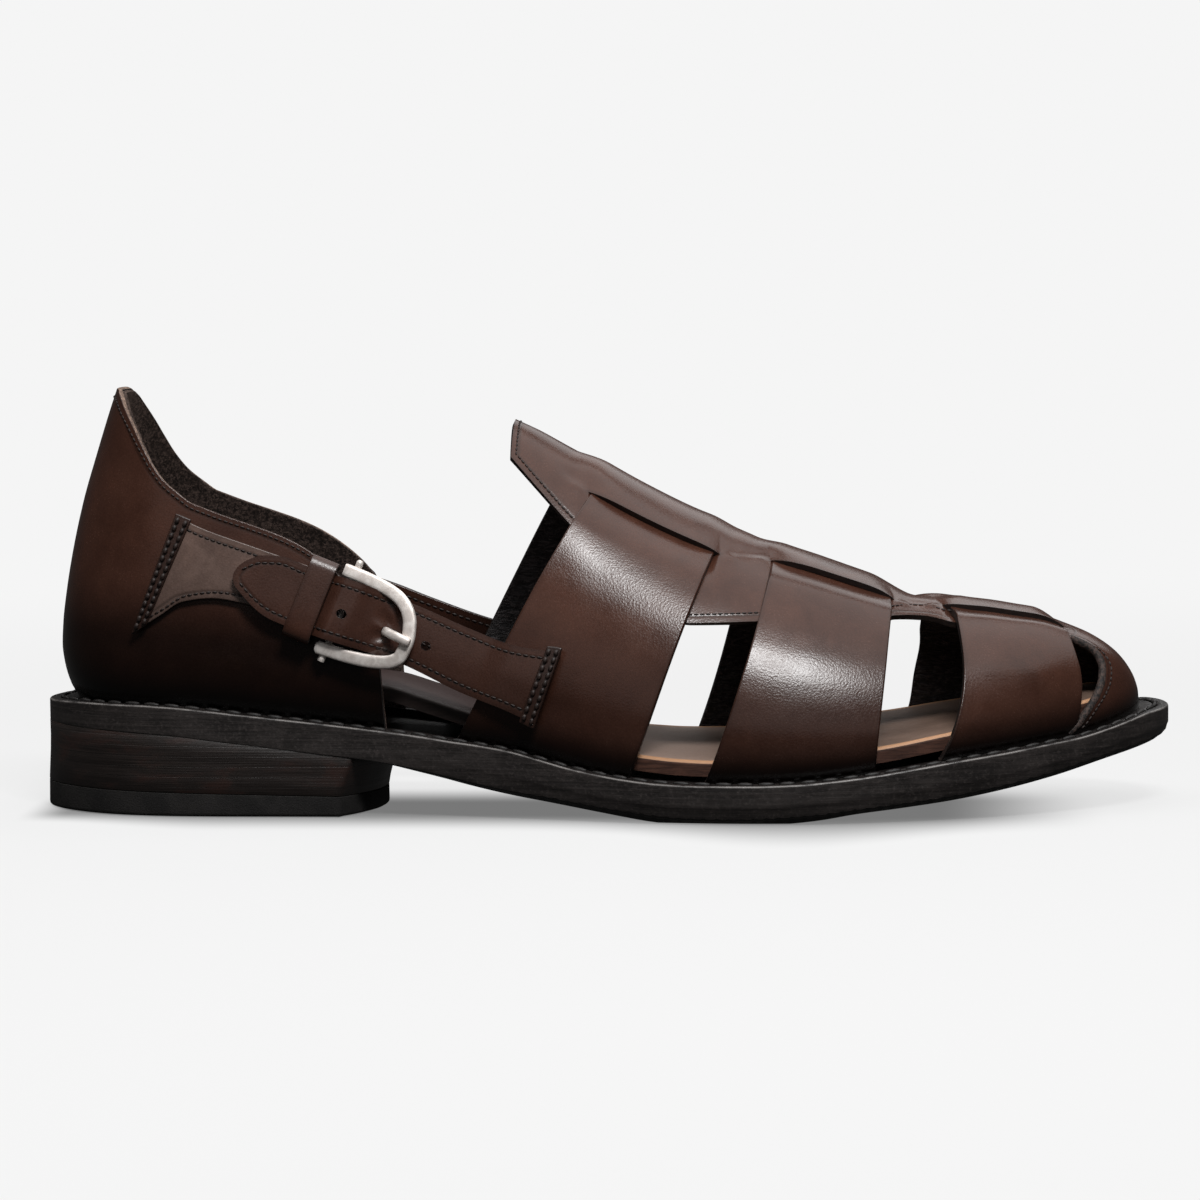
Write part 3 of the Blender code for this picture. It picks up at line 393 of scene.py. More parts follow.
# ---------------------------------------------------------------- panels as surfaces of two shares, 0 to 1
def at_quarter(u, w, lift, drop=0.0):
    """Quarter: u from the lateral front round the heel to the medial front, w from the welt to the collar."""
    u, w = np.broadcast_arrays(np.asarray(u, float), np.asarray(w, float))

    def outside(u, w):
        side = np.where(u < 0.5, -1, 1)
        near = 1 - np.abs(u - 0.5) * 2
        share = np.clip(1 - near / (1 - FAN_SHARE), 0, 1)
        degrees = np.clip((1 - near) / FAN_SHARE, 0, 1) * 90
        low_x, high_x = (FAN_X + share * (row[1] - FAN_X) for row in (QUARTER_FRONT[0], QUARTER_FRONT[-1]))
        out = np.zeros(u.shape + (3,))
        for s in (-1, 1):
            low = foot(FAN_X - HEEL_REACH * np.cos(np.radians(degrees)), s)[1]
            p = fan(degrees, low + (collar_fan(degrees) - drop - low) * w, s)
            low = foot(low_x, s)[1]
            z = low + (collar_side(high_x) - drop - low) * w
            x = FAN_X + share * (quarter_front(z) - FAN_X)
            q = np.stack([x, wall_y(x, z, s), z], -1)
            out = np.where((side == s)[..., None], np.where((near > 1 - FAN_SHARE)[..., None], p, q), out)
        return out
    return raised(outside, u, w, lift, 0.002, 0.01)


def cap_line(degrees):
    """x where the toe cap starts, at each angle of the arch."""
    return cap_start(np.minimum(degrees, 180 - degrees)) - MEDIAL_SHIFT * step((degrees - 70) / 40)


def centre_lift(x, inside, lens, over):
    """Height of the centre piece: inside is the distance from the slit, plus on the band and minus on a wing."""
    band = mix(lens, BAND_RISE * over, step(np.abs(inside) / 9))
    wing = -2.1 * (lens > 0) * step(lens / 1.2) * np.exp(-(inside / 7.0) ** 2)
    return np.where(inside >= 0, band, wing)


def lip(x):
    """Height of the band's edge over each slit."""
    out = np.zeros_like(x)
    for a, b, high in SLITS:
        t = np.clip((x - a) / (b - a), 0, 1)
        out = np.maximum(out, high * (1 - np.abs(2 * t - 1) ** 5))
    return out


def strap_edges(number, angle):
    """x of a strap's rear and front edges at each angle of the arch."""
    spec = STRAPS[number]
    middle = (spec["rear"][2] + spec["front"][2]) / 2
    share = np.sin(np.radians(np.minimum(angle, 180 - angle))) ** (2 / roundness(middle))
    shift = MEDIAL_SHIFT * step((angle - 72) / 36)
    rear, front = (np.polyval(np.polyfit([0, 0.5, 1], spec[k], 2), share) - shift for k in ("rear", "front"))
    wider = spec.get("medial_rear", 0) * step((angle - 112) / 26)
    bow = spec.get("medial_bow", 0) * np.exp(-((angle - 158) / 12) ** 2)
    return rear - wider - bow, front


def at_strap(number, angle, w):
    """Strap from the lateral welt (0 degrees) over the wings, under the band, to the medial welt (180)."""
    rear, front = strap_edges(number, angle)
    x = mix(rear, front, w)
    slit = slit_angle(x + np.where(angle > 90, MEDIAL_SHIFT, 0))
    turn = np.minimum(angle, 180 - angle)
    over_wing = 1.9 * step((turn - 5) / 33)
    reach = (slit - turn) * np.pi / 180 * 45        # down from the slit, in millimetres
    height = np.where(reach < 0, mix(0.1, -0.35, step(-reach / 5)), mix(0.1, over_wing, step(reach / 11)))
    return on_arch(x, angle, height)


def at_side(edges, u, w, lift, side=-1):
    """Overlay on the side wall: u along it, w from its top edge to its bottom edge."""
    u, w = np.broadcast_arrays(np.asarray(u, float), np.asarray(w, float))
    x, z = np.moveaxis(mix(guide(edges["top"])(u), guide(edges["bottom"])(u), w[..., None]), -1, 0)
    return on_wall(x, z, lift(x, z), side)


def strap_height(x, z):
    """Height of the strap's underside: over the bar, with small folds fanning from the prong."""
    run = (x - BAR_X) * ALONG[0] + (z - BAR_Z) * ALONG[1]
    across = (x - BAR_X) * ACROSS[0] + (z - BAR_Z) * ACROSS[1]
    far, turn = np.hypot(run - 17.5, across + 0.4), np.arctan2(across + 0.4, 17.5 - run)
    folds = 0.42 * np.sin(7.5 * turn + 0.8) * np.exp(-((far - 5.2) / 2.6) ** 2) * step((16.5 - run) / 4)
    return strap_lift(run) + folds


on_strap = lifted(strap_height, BELT_LEATHER)
strap_trim = lifted(strap_height, BELT_LEATHER + TRIM_RISE)
chape_trim = level(CHAPE_TOP + TRIM_RISE)


# ---------------------------------------------------------------- meshes
def to_frame(p):
    return (np.asarray(p, float) - MIDDLE) * MM


def to_shoe(p):
    return p / MM + Vector(MIDDLE)


def flat_grid(bm, us, ws):
    """Grid of faces whose vertices stand at the given shares, as x and y; returns the new vertices."""
    verts = bmesh.ops.create_grid(bm, x_segments=len(us) - 1, y_segments=len(ws) - 1, size=0.5)["verts"]
    for v in verts:
        v.co = (us[round((v.co.x + 0.5) * (len(us) - 1))], ws[round((v.co.y + 0.5) * (len(ws) - 1))], 0)
    return verts


def flat(verts):
    """x and y of the vertices of a flat grid."""
    return np.array([v.co[:2] for v in verts])


def put(verts, points):
    """Move vertices to points in millimetres."""
    for v, p in zip(verts, to_frame(points)):
        v.co = p


def face_out(bm):
    """Turn an open sheet's faces away from the foot."""
    bmesh.ops.recalc_face_normals(bm, faces=bm.faces)
    out = 0
    for f in bm.faces:
        middle = f.calc_center_median()
        core = Vector((min(max(middle.x, -0.11), 0.12), 0.003, 0.032))
        out += f.normal.dot(middle - core) * f.calc_area()
    if out < 0:
        bmesh.ops.reverse_faces(bm, faces=bm.faces)


def nearest_mm(points, targets):
    """Distance from each point to the nearest target."""
    tree = KDTree(len(targets))
    for i, p in enumerate(targets):
        tree.insert(p, i)
    tree.balance()
    return np.array([tree.find(p)[2] / MM for p in points])


def mark(ob, key, values):
    """Keep one number for each vertex."""
    ob.data.attributes.new(key, "FLOAT", "POINT").data.foreach_set("value", values.astype(np.float32))


def always(middle):
    return True


def never(middle):
    return False


def above_welt(middle):
    """Whether an edge with this middle stands clear of the welt."""
    return middle.z > top_of_welt(middle.x, middle.y) + 0.4


def measure_rim(ob, free, sewn):
    """Attributes of an open sheet: rim_mm and seam_mm are distances from its free and its sewn edges, low_mm is
    the height above the welt."""
    co = np.array([v.co for v in ob.data.vertices])
    x, y, z = (co / MM + MIDDLE).T
    mark(ob, "low_mm", z - top_of_welt(x, y))
    bm = bmesh.new()
    bm.from_mesh(ob.data)
    slit = bm.verts.layers.float.get("slit")
    for key, wanted in (("rim_mm", free), ("seam_mm", sewn)):
        points = []
        for e in bm.edges:
            a, b = (v.co for v in e.verts)
            if not e.is_boundary or not wanted(to_shoe((a + b) / 2)):
                continue
            if key == "seam_mm" and slit and all(v[slit] > 0.5 for v in e.verts):
                continue
            points += [a.lerp(b, t) for t in np.linspace(0, 1, max(2, int((b - a).length / (0.6 * MM))))]
        mark(ob, key, nearest_mm(co, points) if points else np.full(len(co), FAR))
    bm.free()


def add_object(name, bm, materials=()):
    """Object at the origin from a finished bmesh."""
    mesh = bpy.data.meshes.new(name)
    bm.to_mesh(mesh)
    bm.free()
    for mat in materials:
        mesh.materials.append(mat)
    ob = bpy.data.objects.new(name, mesh)
    bpy.context.scene.collection.objects.link(ob)
    return ob


def piece(name, bm, materials, sharp=None):
    """Piece of the shoe, riding on its one body; sharp is the angle from which edges stay sharp."""
    ob = add_object(name, bm, materials)
    ob.data.shade_smooth()
    if sharp:
        ob.data.set_sharp_from_angle(angle=math.radians(sharp))
    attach(ob, "root")
    return ob


def leather(ob, thickness, edge=0.32, free=always, sewn=always):
    """Give an open sheet its thickness, a cut edge and worn corners."""
    measure_rim(ob, free, sewn)
    wall = dict(thickness=thickness * MM, offset=-1, use_even_offset=True, use_quality_normals=True,
                material_offset=1, material_offset_rim=2)
    corner = dict(width=edge * MM, segments=3, limit_method="ANGLE", angle_limit=math.radians(50),
                  harden_normals=True)
    for name, kind, settings in (("thickness", "SOLIDIFY", wall), ("corners", "BEVEL", corner)):
        modifier = ob.modifiers.new(name, kind)
        for key, value in settings.items():
            setattr(modifier, key, value)
    return ob


def settle(ob):
    """Bake an object's modifiers into its mesh."""
    graph = bpy.context.evaluated_depsgraph_get()
    mesh = bpy.data.meshes.new_from_object(ob.evaluated_get(graph), preserve_all_data_layers=True,
                                           depsgraph=graph)
    old, ob.data = ob.data, mesh
    ob.modifiers.clear()
    bpy.data.meshes.remove(old)
    return ob


def panel(name, surface, us, ws, thickness, materials, **more):
    """One leather panel on a surface; us and ws are its places in each direction, or how many there are."""
    bm = bmesh.new()
    verts = flat_grid(bm, *(np.linspace(0, 1, s) if isinstance(s, int) else s for s in (us, ws)))
    put(verts, surface(*flat(verts).T))
    bmesh.ops.remove_doubles(bm, verts=bm.verts, dist=1e-7)
    face_out(bm)
    return leather(piece(name, bm, materials), thickness, **more)


def overlay(name, edges, lift, us, ws, thickness, materials, side=-1, **more):
    """Panel laid over the side wall."""
    return panel(name, lambda u, w: at_side(edges, u, w, lift, side), us, ws, thickness, materials, **more)


def sew(name, lines, pitch, length, width, height, mat, sink=0.35):
    """Stitches along lines; each line gives points at shares of its length and a height over its surface."""
    whole, row = bmesh.new(), bmesh.new()

    def flush():
        """Move the stitches made so far to the whole, because a long row slows down."""
        part = bpy.data.meshes.new("stitches")
        row.to_mesh(part)
        row.clear()
        whole.from_mesh(part)
        bpy.data.meshes.remove(part)
    for line in lines:
        t = np.linspace(0, 1, 400)
        path = line(t, 0.0)
        s = run_length(path)
        count = max(1, int(round(s[-1] / pitch)))
        at = (np.arange(count) + 0.5) / count * s[-1]
        before, middle, after = (line(np.interp(at + d, s, t), 0.0) for d in (-0.4, 0, 0.4))
        above = line(np.interp(at, s, t), 1.0)
        for i, (a, m, b, over) in enumerate(zip(before, middle, after, above)):
            up, x = Vector(over - m).normalized(), Vector(b - a).normalized()
            y = up.cross(x).normalized()
            z = x.cross(y)
            turn = Matrix((x * length / 2, y * width / 2, z * height / 2)).transposed() * MM
            matrix = Matrix.Translation(Vector(to_frame(m)) + z * height * (0.5 - sink) * MM) @ turn.to_4x4()
            bmesh.ops.create_uvsphere(row, u_segments=8, v_segments=5, radius=1.0,
                                      matrix=matrix @ Matrix.Rotation(math.pi / 2, 4, "Y"))
            if i % 50 == 49:
                flush()
        flush()
    row.free()
    return piece(name, whole, [mat])


def sweep(name, path, ups, shape, mat, ends=(0.9, 0.6)):
    """Bar along a path, its section a rounded box whose size may change along the way."""
    bm = bmesh.new()
    last = len(path) - 1
    turns = np.radians(np.arange(16) * 22.5 + 11.25)

    def set_ring(verts, i, scale):
        a, b = path[max(i - 1, 0)], path[min(i + 1, last)]
        run = (b - a) / np.linalg.norm(b - a)
        up = ups[i] - run * np.dot(ups[i], run)
        up /= np.linalg.norm(up)
        side = np.cross(up, run)
        half_w, half_h, power = shape(i / last)
        put(verts, [path[i] + side * half_w * scale * np.sign(c) * abs(c) ** power
                    + up * half_h * scale * np.sign(s) * abs(s) ** power
                    for c, s in zip(np.cos(turns), np.sin(turns))])
    set_ring(bmesh.ops.create_circle(bm, segments=16, radius=1.0, cap_ends=True)["verts"], 0, ends[0])
    loop = list(bm.edges)
    for i in range(1, last + 1):
        new = bmesh.ops.extrude_edge_only(bm, edges=loop)["geom"]
        loop = [g for g in new if isinstance(g, bmesh.types.BMEdge)]
        set_ring([g for g in new if isinstance(g, bmesh.types.BMVert)], i, ends[1] if i == last else 1)
    bmesh.ops.contextual_create(bm, geom=loop)
    bmesh.ops.recalc_face_normals(bm, faces=bm.faces)
    return piece(name, bm, [mat], 40)


# ---------------------------------------------------------------- finishes
class Wire:
    """A number on a shader socket; sums on it add Math nodes."""

    def __init__(self, finish, socket):
        self.finish, self.socket = finish, socket

    def _math(self, operation, *values):
        return self.finish.node("ShaderNodeMath", dict(operation=operation), *values).value()

    def __add__(self, other): return self._math("ADD", self, other)
    def __radd__(self, other): return self._math("ADD", other, self)
    def __sub__(self, other): return self._math("SUBTRACT", self, other)
    def __rsub__(self, other): return self._math("SUBTRACT", other, self)
    def __mul__(self, other): return self._math("MULTIPLY", self, other)
    def __rmul__(self, other): return self._math("MULTIPLY", other, self)
    def __truediv__(self, other): return self._math("DIVIDE", self, other)
    def __pow__(self, other): return self._math("POWER", self, other)
    def __neg__(self): return self._math("MULTIPLY", self, -1)
    def __abs__(self): return self._math("ABSOLUTE", self)
    def exp(self): return self._math("EXPONENT", self)
    def sine(self): return self._math("SINE", self)


class Node:
    """One node of a finish."""

    def __init__(self, finish, node):
        self.finish, self.node = finish, node

    def out(self, name=0):
        return self.node.outputs[name]

    def value(self, name=0):
        return Wire(self.finish, self.node.outputs[name])


class Finish:
    """A material: its node tree, and the constants of its shader."""

    def __init__(self, name, **constants):
        self.mat = bpy.data.materials.new(name)
        self.mat.use_nodes = True
        self.tree = self.mat.node_tree
        self.shader = self.tree.nodes["Principled BSDF"]
        for key, value in constants.items():
            self.feed(self.shader.inputs[key.replace("_", " ")], value)
        self.place = self.node("ShaderNodeTexCoord", {}).out("Object")

    def feed(self, socket, value):
        """Link a wire to a socket, or set the socket's own value; colours are given without alpha."""
        value = value.socket if isinstance(value, Wire) else value
        if isinstance(value, bpy.types.NodeSocket):
            self.tree.links.new(value, socket)
        else:
            socket.default_value = (*value, 1) if socket.type == "RGBA" else value

    def node(self, kind, settings, *values, **sockets):
        """Add a node: its type, its settings, then values or links for its sockets, in order or by name."""
        node = self.tree.nodes.new(kind)
        for key, value in settings.items():
            setattr(node, key, value)
        for i, value in enumerate(values):
            self.feed(node.inputs[i], value)
        for key, value in sockets.items():
            self.feed(node.inputs[key.replace("_", " ")], value)
        return Node(self, node)

    def spot(self, size, shift=(0, 0, 0)):
        """Object coordinates over a cell whose size is given in millimetres, for all axes or each."""
        scale = tuple(1 / (s * MM) for s in (size if isinstance(size, tuple) else (size,) * 3))
        return self.node("ShaderNodeMapping", {}, Vector=self.place, Scale=scale, Location=shift).out()

    def noise(self, size, detail, rough, distort=0.0, shift=(0, 0, 0)):
        return self.node("ShaderNodeTexNoise", {}, Vector=self.spot(size, shift), Scale=1.0, Detail=detail,
                         Roughness=rough, Distortion=distort).value("Fac")

    def cells(self, size):
        return self.node("ShaderNodeTexVoronoi", {}, Vector=self.spot(size), Scale=1.0).value("Distance")

    def along(self, axis):
        """Place along one axis in millimetres, from the middle of the shoe."""
        return self.node("ShaderNodeSeparateXYZ", {}, Vector=self.place).value(axis) * (1 / MM)

    def attribute(self, name):
        return self.node("ShaderNodeAttribute", dict(attribute_name=name)).value("Fac")

    def ease(self, value, a, b, low=0.0, high=1.0):
        """Smooth step of a value from a to b."""
        return self.node("ShaderNodeMapRange", dict(interpolation_type="SMOOTHSTEP"), value, a, b, low,
                         high).value()

    def paint(self, share, a, b, mode="MIX"):
        """Mix two colours by a share."""
        mixer = self.node("ShaderNodeMix", dict(data_type="RGBA", blend_type=mode, clamp_factor=True), share)
        for socket, colour in zip(mixer.node.inputs[6:8], (a, b)):
            self.feed(socket, colour)
        return mixer.out(2)

    def wear(self, colour, rough, height, depth, strength):
        """Connect what changes over the surface; height is in shares of a depth in millimetres."""
        bump = self.node("ShaderNodeBump", {}, Strength=strength, Distance=depth * MM, Height=height)
        for socket, value in (("Base Color", colour), ("Roughness", rough), ("Normal", bump.out())):
            self.feed(self.shader.inputs[socket], value)
        return self.mat


def toned(share, *colours):
    """Colours made darker or lighter by a share."""
    return [tuple(share * c for c in colour) for colour in colours]


def upper_leather(name, tones, rough=0.235, sewn=None, low_shade=None, foot_shade=None, gloss=0.34):
    """Smooth waxed calf of a dark, a middle and a warm tone: fine grain, soft creases, darker at its edges, with
    painted shade towards the welt and a painted contact shadow at its foot; low_shade is two heights and the
    least light of that painted shade, foot_shade the height over which the painted shadow fades, and sewn is
    where the seam's groove lies, which is painted darker as shade in it."""
    f = Finish(name, Specular_IOR_Level=gloss)
    dark, mid, warm = tones
    low = f.attribute("low_mm")
    patch, cloud = f.noise(26, 3, 0.6, 0.4), f.noise(7, 4, 0.6, 0.3, shift=(3, 1, 2))
    fine, pores = f.noise(0.55, 3, 0.6), f.cells(0.55)
    crease = f.noise((5, 5, 1.6), 5, 0.62, 1.2, shift=(7, 2, 5))
    colour = f.paint(f.ease(patch * 0.6 + cloud * 0.4, 0.3, 0.7), dark, mid)
    colour = f.paint(f.ease(f.noise(15, 4, 0.65, 0.8, shift=(9, 4, 1)), 0.45, 0.8) * 0.5, colour, warm)
    shade = (0.75 + 0.25 * f.ease(f.attribute("rim_mm"), 0.1, 1.5)) * (0.72 + 0.56 * fine)
    # painted contact shadow where the piece meets the welt
    if foot_shade:
        shade = shade * (0.04 + 0.96 * f.ease(low, 1, foot_shade))
    # painted shade towards the welt, down to the least light
    if low_shade:
        start, end, least = low_shade
        shade = shade * f.ease(low, start, end, least)
    tint = f.node("ShaderNodeCombineColor", {}, shade, shade, shade).out()
    colour = f.paint(1.0, colour, tint, "MULTIPLY")
    height = pores * 0.6 + fine * 0.4 + crease * 0.3
    if sewn:
        groove = (-((f.attribute("seam_mm") - sewn) / 0.42) ** 2).exp()
        height = height - groove * 1.5
        # painted shade in the seam's groove
        colour = f.paint(groove * 0.45, colour, (0.004, 0.002, 0.0015))
    return f.wear(colour, rough + 0.2 * (fine - 0.5) + 0.1 * (cloud - 0.5), height, 0.042, 0.8)


def two_tone(name, gloss, broad, fine, span, dark, light, rough, relief, depth, strength):
    """Surface painted by a broad noise between two tones, shaped by it and by a fine one, which dulls it too."""
    f = Finish(name, Specular_IOR_Level=gloss)
    broad, fine = f.noise(*broad), f.noise(*fine)
    colour = f.paint(f.ease(broad, *span), dark, light)
    return f.wear(colour, rough[0] + rough[1] * fine, broad * relief[0] + fine * relief[1], depth, strength)


def raw_edge(name, dark, light, above=None):
    """Cut leather left nearly bare, with light fibres; inked below the given height."""
    f = Finish(name, Specular_IOR_Level=0.45)
    fibre, grit = f.noise(1.5, 4, 0.7, 0.5), f.noise(0.6, 3, 0.7)
    colour = f.paint(f.ease(fibre * 0.5 + grit * 0.5, 0.45, 0.57), dark, light)
    if above:
        colour = f.paint(f.ease(f.along("Z"), above, above - 6), colour, (0.006, 0.0035, 0.003))
    return f.wear(colour, 0.6 + 0.3 * grit, fibre * 0.5 + grit * 0.6, 0.3, 0.9)


def suede():
    """Napped lining."""
    f = Finish("suede", Specular_IOR_Level=0.15, Sheen_Weight=0.35, Sheen_Roughness=0.5,
               Sheen_Tint=(0.5, 0.36, 0.3))
    nap, lie = f.noise(0.9, 5, 0.8, 0.8), f.noise((9, 9, 3), 4, 0.65, 1.2)
    colour = f.paint(f.ease(nap * 0.85 + lie * 0.15, 0.44, 0.62), (0.0030, 0.0018, 0.0015),
                     (0.080, 0.055, 0.046))
    return f.wear(colour, 0.82 + 0.15 * nap, nap + lie * 0.8, 0.5, 1.0)


def insole_tan():
    """Tan grain leather of the insole's top: lighter along its edge, partly as a painted highlight; lighter from
    the arch to the second strap as painted light; darker towards the heel.
    """
    f = Finish("insole_tan", Specular_IOR_Level=0.4)
    patch, fine, pores = f.noise(18, 4, 0.6, 0.5), f.noise(1.1, 4, 0.6), f.cells(0.8)
    x, far, rim = f.along("X"), f.ease(f.along("Y"), -5, 5), f.attribute("rim_mm")
    colour = f.paint(f.ease(patch, 0.35, 0.68), (0.140, 0.091, 0.068), (0.200, 0.133, 0.101))
    # painted light against the shade under the straps
    colour = f.paint(f.ease(x, 50, 15), colour, (0.300, 0.215, 0.175))
    colour = f.paint(f.ease(fine, 0.55, 0.8) * 0.35, colour, (0.12, 0.065, 0.040))
    colour = f.paint(f.ease(x, -5, -28), colour, (0.036, 0.0215, 0.0195))
    # lighter edge, wider on the far side: partly the cover's own edge, partly a painted highlight
    glow = f.ease(rim, 5.5, 1.5) * far + f.ease(rim, 2.0, 0.7) * (1 - far)
    colour = f.paint(glow * f.ease(x, -25, 5), colour, (0.46, 0.245, 0.130))
    return f.wear(colour, 0.44 + 0.2 * fine, pores * 0.5 + fine * 0.5, 0.07, 0.7)


def insole_side():
    """Side of the insole, darker towards the heel."""
    f = Finish("insole_side", Specular_IOR_Level=0.35)
    fibre = f.noise((6, 6, 0.6), 4, 0.6)
    colour = f.paint(f.ease(fibre, 0.3, 0.7), (0.030, 0.0120, 0.008), (0.085, 0.036, 0.023))
    colour = f.paint(f.ease(f.along("X"), 0, -30) * 0.9, colour, (0.008, 0.005, 0.0045))
    return f.wear(colour, 0.5 + 0.25 * fibre, fibre, 0.1, 0.8)


def sole_ink(name, dark, light, rough, line_size, scratch):
    """Inked sole leather: fine lines run along its edge, with scuffs, and a painted highlight on rows marked for
    it.
    """
    f = Finish(name, Specular_IOR_Level=0.5)
    lines = f.noise((34, 34, line_size), 5, 0.62)
    patch = f.noise(11, 4, 0.65, 0.6)
    grit = f.noise(0.9, 4, 0.65)
    scuff = f.ease(f.noise((9, 9, 0.7), 5, 0.7, 0.5, shift=(4, 8, 2)), 0.55, 0.75)
    colour = f.paint(f.ease(lines * 0.5 + patch * 0.5, 0.38, 0.62), dark, light)
    colour = f.paint(scuff * scratch, colour, toned(2.0, light)[0])
    colour = f.paint(f.ease(grit, 0.5, 0.72) * 0.6, colour, toned(1.9, light)[0])
    # painted highlight along the marked rows, broken up by a noise
    edge_glint = f.attribute("edge_glint") * f.ease(f.noise((7, 7, 2), 4, 0.65, shift=(2, 6, 1)), 0.32, 0.58)
    colour = f.paint(edge_glint, colour, (0.16, 0.148, 0.140))
    rough = rough + 0.25 * (grit - 0.5) + 0.14 * (patch - 0.5)
    return f.wear(colour, rough, lines * 0.6 + grit * 0.6, 0.18, 0.8)


def heel_stack_ink():
    """Layers of leather under black ink, with warmer patches."""
    f = Finish("heel_stack_ink", Specular_IOR_Level=0.5)
    layer = ((f.along("Z") + f.noise(22, 3, 0.5) * 0.7) * (math.pi / 2.75)).sine()
    joint = f.ease(abs(layer), 0.12, 0.0) * 0.35
    lines, patch = f.noise((30, 30, 0.42), 5, 0.65), f.noise((16, 16, 5), 4, 0.6, 0.5)
    colour = f.paint(f.ease(lines * 0.6 + patch * 0.4, 0.36, 0.64), (0.0095, 0.0066, 0.0057),
                     (0.0225, 0.0162, 0.0142))
    colour = f.paint(f.ease(patch, 0.5, 0.68) * 0.7, colour, (0.032, 0.0135, 0.0100))
    colour = f.paint(joint * 0.55, colour, (0.003, 0.002, 0.0018))
    return f.wear(colour, 0.42 + 0.3 * (lines - 0.5), lines * 0.9 - joint * 0.7, 0.16, 0.8)


def brushed_silver():
    """Antique silver, brushed and slightly tarnished."""
    f = Finish("antique_silver", Metallic=0.55)
    brush, cloud, fine = f.noise((0.25, 0.25, 2.6), 4, 0.6), f.noise(3.2, 4, 0.6, 0.4), f.noise(0.3, 3, 0.6)
    colour = f.paint(f.ease(cloud, 0.36, 0.66), (0.70, 0.63, 0.585), (0.93, 0.87, 0.82))
    colour = f.paint(f.ease(fine, 0.58, 0.76) * 0.4, colour, (0.34, 0.285, 0.25))
    return f.wear(colour, 0.5 + 0.16 * (brush - 0.5) + 0.1 * (cloud - 0.5), brush * 0.5 + fine * 0.5, 0.03, 0.5)


# Dark, middle and warm tone of the calf; darker on the belt and the end strips; a darker copy on the quarter as
# painted shade, and lighter, greyer tones on the chape as a painted sheen
CALF = (0.050, 0.0195, 0.0125), (0.074, 0.0310, 0.0205), (0.094, 0.0365, 0.0225)
HEEL_SHADED = toned(0.82, *CALF[:2]) + toned(0.85, CALF[2])
BELT = toned(0.85, *CALF[:2]) + toned(0.9, CALF[2])
TRIM = toned(0.42, *CALF[:2]) + toned(0.5, CALF[2])
# lighter, greyer tones of the chape: a painted sheen on it
CHAPE_SHEEN = (0.072, 0.042, 0.033), (0.165, 0.106, 0.086), (0.180, 0.110, 0.086)

# copies of the calf that differ in their painted shade towards the welt and at the foot; the quarter's copy is
# darker as a whole, as painted shade
calf_sewn = upper_leather("calf_sewn", CALF, sewn=SEAM, low_shade=(6, 28, 0.72), foot_shade=8)
calf_heel_shaded = upper_leather("calf_heel_shaded", HEEL_SHADED, sewn=SEAM, low_shade=(17, 35, 0.2), foot_shade=12)
calf_strap = upper_leather("calf_strap", CALF, low_shade=(14, 44, 0.56), foot_shade=13)
calf_front = upper_leather("calf_front", CALF, low_shade=(8, 34, 0.7), foot_shade=13)
# the chape's calf: its lighter tones paint a sheen, and low_shade paints shade towards its lower edge
calf_chape_sheen = upper_leather("calf_chape_sheen", CHAPE_SHEEN, rough=0.34, sewn=SEAM, low_shade=(18, 46, 0.62), gloss=0.45)
calf_belt = upper_leather("calf_belt", BELT, rough=0.30, sewn=SEAM, low_shade=(5, 30, 0.55), gloss=0.5)
calf_trim = upper_leather("calf_trim", TRIM, rough=0.34, gloss=0.5)
# the lighter tone lies on the raised wrinkles: partly the flesh side's own colour, partly a painted highlight on
# them
flesh = two_tone("flesh_side", 0.35, ((4.5, 4.5, 1.1), 5, 0.65, 1.8), (0.5, 4, 0.7), (0.42, 0.66),
                 (0.006, 0.0052, 0.0054), (0.070, 0.0590, 0.0610), (0.34, 0.25), (0.9, 0.2), 0.7, 1.0)
edge_ink = two_tone("cut_edge", 0.5, ((2.0, 2.0, 0.5), 4, 0.6), (0.35, 3, 0.6), (0.35, 0.7),
                    (0.0045, 0.0026, 0.0022), (0.016, 0.0085, 0.0065), (0.34, 0.3), (0.6, 0.4), 0.07, 0.7)
lift_rubber = two_tone("lift_rubber", 0.4, (8, 3, 0.6), (0.4, 4, 0.6), (0.35, 0.65),
                       (0.0060, 0.0053, 0.0050), (0.0140, 0.0124, 0.0116), (0.7, 0.2), (0, 1), 0.2, 0.8)
upper_thread, welt_thread = (
    two_tone(name, 0.4, (0.5, 3, 0.6), (0.5, 3, 0.6), (0.35, 0.65), dark, light, (0.42, 0.25), (0, 1), 0.06, 0.6)
    for name, dark, light in (("upper_thread", (0.007, 0.0036, 0.0028), (0.026, 0.0138, 0.0105)),
                              ("welt_thread", (0.0035, 0.0028, 0.0026), (0.012, 0.0095, 0.0085))))
collar_edge = raw_edge("collar_edge", (0.10, 0.062, 0.046), (0.30, 0.205, 0.155), 68)
cap_edge = raw_edge("cap_edge", (0.0045, 0.0028, 0.0025), (0.060, 0.038, 0.031))
lining, tan, tan_side, stack, silver = suede(), insole_tan(), insole_side(), heel_stack_ink(), brushed_silver()
welt_ink = sole_ink("welt_ink", (0.0050, 0.0040, 0.0038), (0.0170, 0.0138, 0.0128), 0.36, 1.3, 0.3)
sole_edge_ink = sole_ink("sole_edge_ink", (0.0130, 0.0110, 0.0105), (0.0320, 0.0268, 0.0252), 0.40, 0.7, 0.6)
# darker copy of the edge ink for the sole's lower corner: painted shade where it turns under
under_shade_ink = sole_ink("under_shade_ink", (0.0028, 0.0024, 0.0023), (0.0095, 0.0078, 0.0072), 0.6, 1.2, 0.2)
tread_ink = sole_ink("tread_ink", (0.0085, 0.0068, 0.0062), (0.0200, 0.0165, 0.0150), 0.55, 6.0, 0.3)


